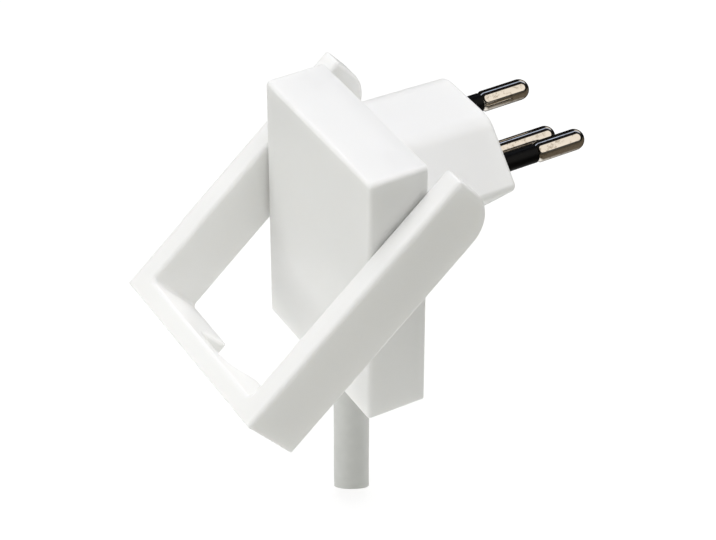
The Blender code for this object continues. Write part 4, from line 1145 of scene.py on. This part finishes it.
def contact_pin(sleeved):
    edge = FIT_GAP
    profile = [(TERMINAL_REAR, TERMINAL_RADIUS - edge), (TERMINAL_REAR + edge, TERMINAL_RADIUS)]
    profile.append((TERMINAL_FRONT, TERMINAL_RADIUS))
    if sleeved:
        core = SLEEVE_RADIUS - SLEEVE_WALL - FIT_GAP
        shoulder = SLEEVE_REACH + FIT_GAP
        profile += [(TERMINAL_FRONT, core), (shoulder, core)]
        profile.append((shoulder, PIN_RADIUS - PIN_SHOULDER_HEIGHT))
        profile.append((shoulder + PIN_SHOULDER_LENGTH, PIN_RADIUS))
    else:
        profile.append((TERMINAL_FRONT, PIN_RADIUS))
    tip_steps = 14
    for step in range(tip_steps):
        angle = math.pi / 2 * step / tip_steps
        x = PIN_REACH - PIN_RADIUS * (1 - math.sin(angle))
        profile.append((x, PIN_RADIUS * math.cos(angle)))
    pin = turned(profile, "X", name="pin")
    ends = (TERMINAL_REAR - OVERCUT, TERMINAL_REAR + WIRE_BORE_DEPTH)
    bore = [(x, WIRE_BORE_RADIUS) for x in ends]
    thread = [(z, TERMINAL_SCREW_RADIUS + FIT_GAP) for z in (0, TERMINAL_RADIUS + OVERCUT)]
    cuts = [turned(bore, "X", sides=SMALL_SIDES)]
    cuts.append(turned(thread, "Z", (CLAMPING_X, 0), SMALL_SIDES))
    combine(pin, cuts, "DIFFERENCE")
    return settled(pin)


def pin_sleeve():
    inner = SLEEVE_RADIUS - SLEEVE_WALL
    rear = TERMINAL_FRONT + SEAT_GAP
    lead = 0.1 * MM
    profile = [(rear, inner), (rear, SLEEVE_RADIUS), (SLEEVE_REACH - lead, SLEEVE_RADIUS)]
    profile += [(SLEEVE_REACH, SLEEVE_RADIUS - lead), (SLEEVE_REACH, inner)]
    return turned(profile, "X", closed=True, name="sleeve")


# Cord

def slanted(point, share=1.0):
    """Shears a point with the cord's slanting cut, fully at the cut and not at all above."""
    fall = Vector((math.cos(CORD_CUT_HEADING), math.sin(CORD_CUT_HEADING)))
    way = fall.dot(Vector((point.x - CORD_X, point.y)))
    return Vector((point.x, point.y, point.z + share * math.tan(CORD_CUT_SLANT) * way))


def core_end(pin):
    """The cut end of one core's insulation, in the recess of the sheath's end."""
    angle = math.radians(CORE_ANGLES[pin])
    centre = (CORD_X + CORE_SPREAD * math.cos(angle), CORE_SPREAD * math.sin(angle))
    edge = 0.05 * MM
    radius = CORE_RADIUS - edge
    bore = WIRE_RADIUS + edge
    top = CORD_END + CORD_RECESS - edge
    cut = CORD_END + edge
    profile = [(top, bore), (top, radius), (cut + edge, radius), (cut, radius - edge), (cut, bore)]
    core = turned(profile, "Z", centre, SMALL_SIDES, closed=True, name="core")
    for corner in core.data.vertices:
        corner.co = slanted(corner.co)
    return core


def core_strands(tree, finish):
    """Nineteen 0.2 mm strands in each core: one, six round it and twelve round those."""
    strand_gap, unevenness = 0.01 * MM, 0.08 * MM
    strand_length = CORD_RECESS * 0.8
    pitch = 2 * STRAND_RADIUS + strand_gap
    places = []
    for degrees in CORE_ANGLES.values():
        angle = math.radians(degrees)
        middle = Vector((CORD_X + CORE_SPREAD * math.cos(angle), CORE_SPREAD * math.sin(angle),
                         CORD_END + CORD_RECESS / 2))
        places.append(middle)
        for turn, count in ((1, 6), (2, 12)):
            for i in range(count):
                way = 2 * math.pi * i / count
                places.append(middle + Vector((math.cos(way), math.sin(way), 0)) * pitch * turn)
    values = {"Strand Radius": STRAND_RADIUS, "Strand Length": strand_length,
              "Unevenness": unevenness, "Finish": finish}
    strands = grown("conductor_strands", tree, places, values)
    for corner in strands.data.vertices:
        corner.co = slanted(corner.co)
    return strands


def cord_sheath():
    """A straight 6.9 mm sheath that follows its three twisted cores very slightly; its
    slanting cut end is a ring round the recessed cores."""
    lay = 55 * MM
    swell = 0.015 * MM
    edge = 0.15 * MM
    core_gap = 0.05 * MM
    inner = CORE_SPREAD + CORE_RADIUS + core_gap
    top_middle = inner * 0.4
    length = CORD_TOP - CORD_END
    rings = [ring(circle(top_middle), "Z", CORD_TOP, (CORD_X, 0))]
    rings.append(ring(circle(CORD_RADIUS - edge), "Z", CORD_TOP, (CORD_X, 0)))
    count = 80
    for step in range(count + 1):
        z = CORD_TOP - edge - (length - 2 * edge) * step / count
        outline = []
        for point in circle(1.0):
            angle = math.atan2(point.y, point.x)
            radius = CORD_RADIUS - swell + swell * math.cos(3 * (angle - 2 * math.pi * z / lay))
            outline.append(point * radius)
        rings.append(ring(outline, "Z", z, (CORD_X, 0)))
    rings.append(ring(circle(CORD_RADIUS - edge), "Z", CORD_END, (CORD_X, 0)))
    rings.append(ring(circle(inner + edge), "Z", CORD_END, (CORD_X, 0)))
    rings.append(ring(circle(inner), "Z", CORD_END + CORD_RECESS, (CORD_X, 0)))
    cut = []
    for points in rings:
        share = min(1.0, max(0.0, (PLATE_BOTTOM - points[0].z) / (PLATE_BOTTOM - CORD_END)))
        cut.append([slanted(point, share) for point in points])
    return loft("cord_sheath_tube", cut)


def build():
    add_camera()
    add_studio()
    add_floor()

    white = moulded_white_plastic()
    nickel = turned_nickel_plated_brass()
    black = black_sleeve_nylon()
    cord_white = soft_pvc("extruded_white_pvc_sheath", "C6C7C5", "D0D1CF")

    zinc = zinc_plated_steel()
    copper = stranded_copper()
    colours = {
        "live": soft_pvc("extruded_brown_pvc", "5E3620", "6E4228"),
        "neutral": soft_pvc("extruded_blue_pvc", "2A62A6", "3A72B4"),
        "earth": two_tone_pvc(),
    }

    cord = dress(cord_sheath(), "cord_sheath_tube", cord_white, "plug_body", "cord_sheath")
    for pin, colour in colours.items():
        end = dress(core_end(pin), pin + "_core_end", colour, "plug_body")
    strands = dress(core_strands(strand_tree(), copper), "conductor_strands", copper, "plug_body")

    dress(front_housing(), "front_housing_shell", white, "plug_body", "front_housing")
    dress(rear_cover(), "rear_cover_tray", white, "plug_body", "rear_cover")
    dress(pull_handle(), "pull_handle_bail", white, "pull_handle", "handle")
    for name, spot in PIN_PLACES.items():
        pin = moved(contact_pin(name != "earth"), Matrix.Translation(spot))
        dress(pin, name + "_contact_pin", nickel, "plug_body", name + "_pin")
        if name != "earth":
            sleeve = moved(pin_sleeve(), Matrix.Translation(spot))
            dress(sleeve, name + "_sleeve_tube", black, "plug_body", name + "_pin_sleeve")

    screw = slotted_screw_tree()
    x = PLATE_FRONT - HOUSING_HEAD_HEIGHT - SEAT_GAP / 2
    sizes = screw_sizes(HOUSING_HEAD_RADIUS, HOUSING_HEAD_HEIGHT, HOUSING_SCREW_RADIUS,
                        HOUSING_SCREW_LENGTH, (0, math.pi / 2, 0), zinc)
    screws = grown("housing_screws", screw, [(x, *spot) for spot in housing_screw_places()], sizes)
    dress(screws, "housing_screws", zinc, "plug_body", "housing_screw_left", "housing_screw_right")
    x = FRONT_WALL_INSIDE - CLAMP_POST_HEIGHT - 2 * SEAT_GAP - CLAMP_EAR_THICKNESS
    sizes = screw_sizes(CLAMP_HEAD_RADIUS, CLAMP_HEAD_HEIGHT, CLAMP_SCREW_RADIUS,
                        CLAMP_EAR_THICKNESS + CLAMP_POST_HEIGHT, (0, -math.pi / 2, 0), zinc)
    screws = grown("clamp_screws", screw, [(x, *spot) for spot in clamp_screw_places()], sizes)
    dress(screws, "clamp_screws", zinc, "plug_body", "clamp_screw_left", "clamp_screw_right")
    lift = Vector((CLAMPING_X, 0, TERMINAL_RADIUS + SEAT_GAP))
    sizes = screw_sizes(TERMINAL_HEAD_RADIUS, TERMINAL_HEAD_HEIGHT, TERMINAL_SCREW_RADIUS,
                        TERMINAL_RADIUS - WIRE_RADIUS, (0, 0, 0), zinc)
    screws = grown("terminal_screws", screw, [spot + lift for spot in PIN_PLACES.values()], sizes)
    names = [pin + "_terminal_screw" for pin in PIN_PLACES]
    dress(screws, "terminal_screws", zinc, "plug_body", *names)

    inside = {
        "pin_carrier": glass_filled_nylon("glass_filled_grey_nylon", "8A8C8E", "A2A4A5"),
        "cord_clamp": glass_filled_nylon("glass_filled_natural_nylon", "D9D6CC", "E6E3DA"),
    }
    for pin, colour in colours.items():
        inside[pin + "_core_insulation"] = colour
        inside[pin + "_conductor"] = copper
    for name, finish in inside.items():
        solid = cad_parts[name]
        solid.data.materials.clear()
        solid.data.materials.append(finish)

    bpy.context.scene.view_settings.view_transform = "Standard"


build()
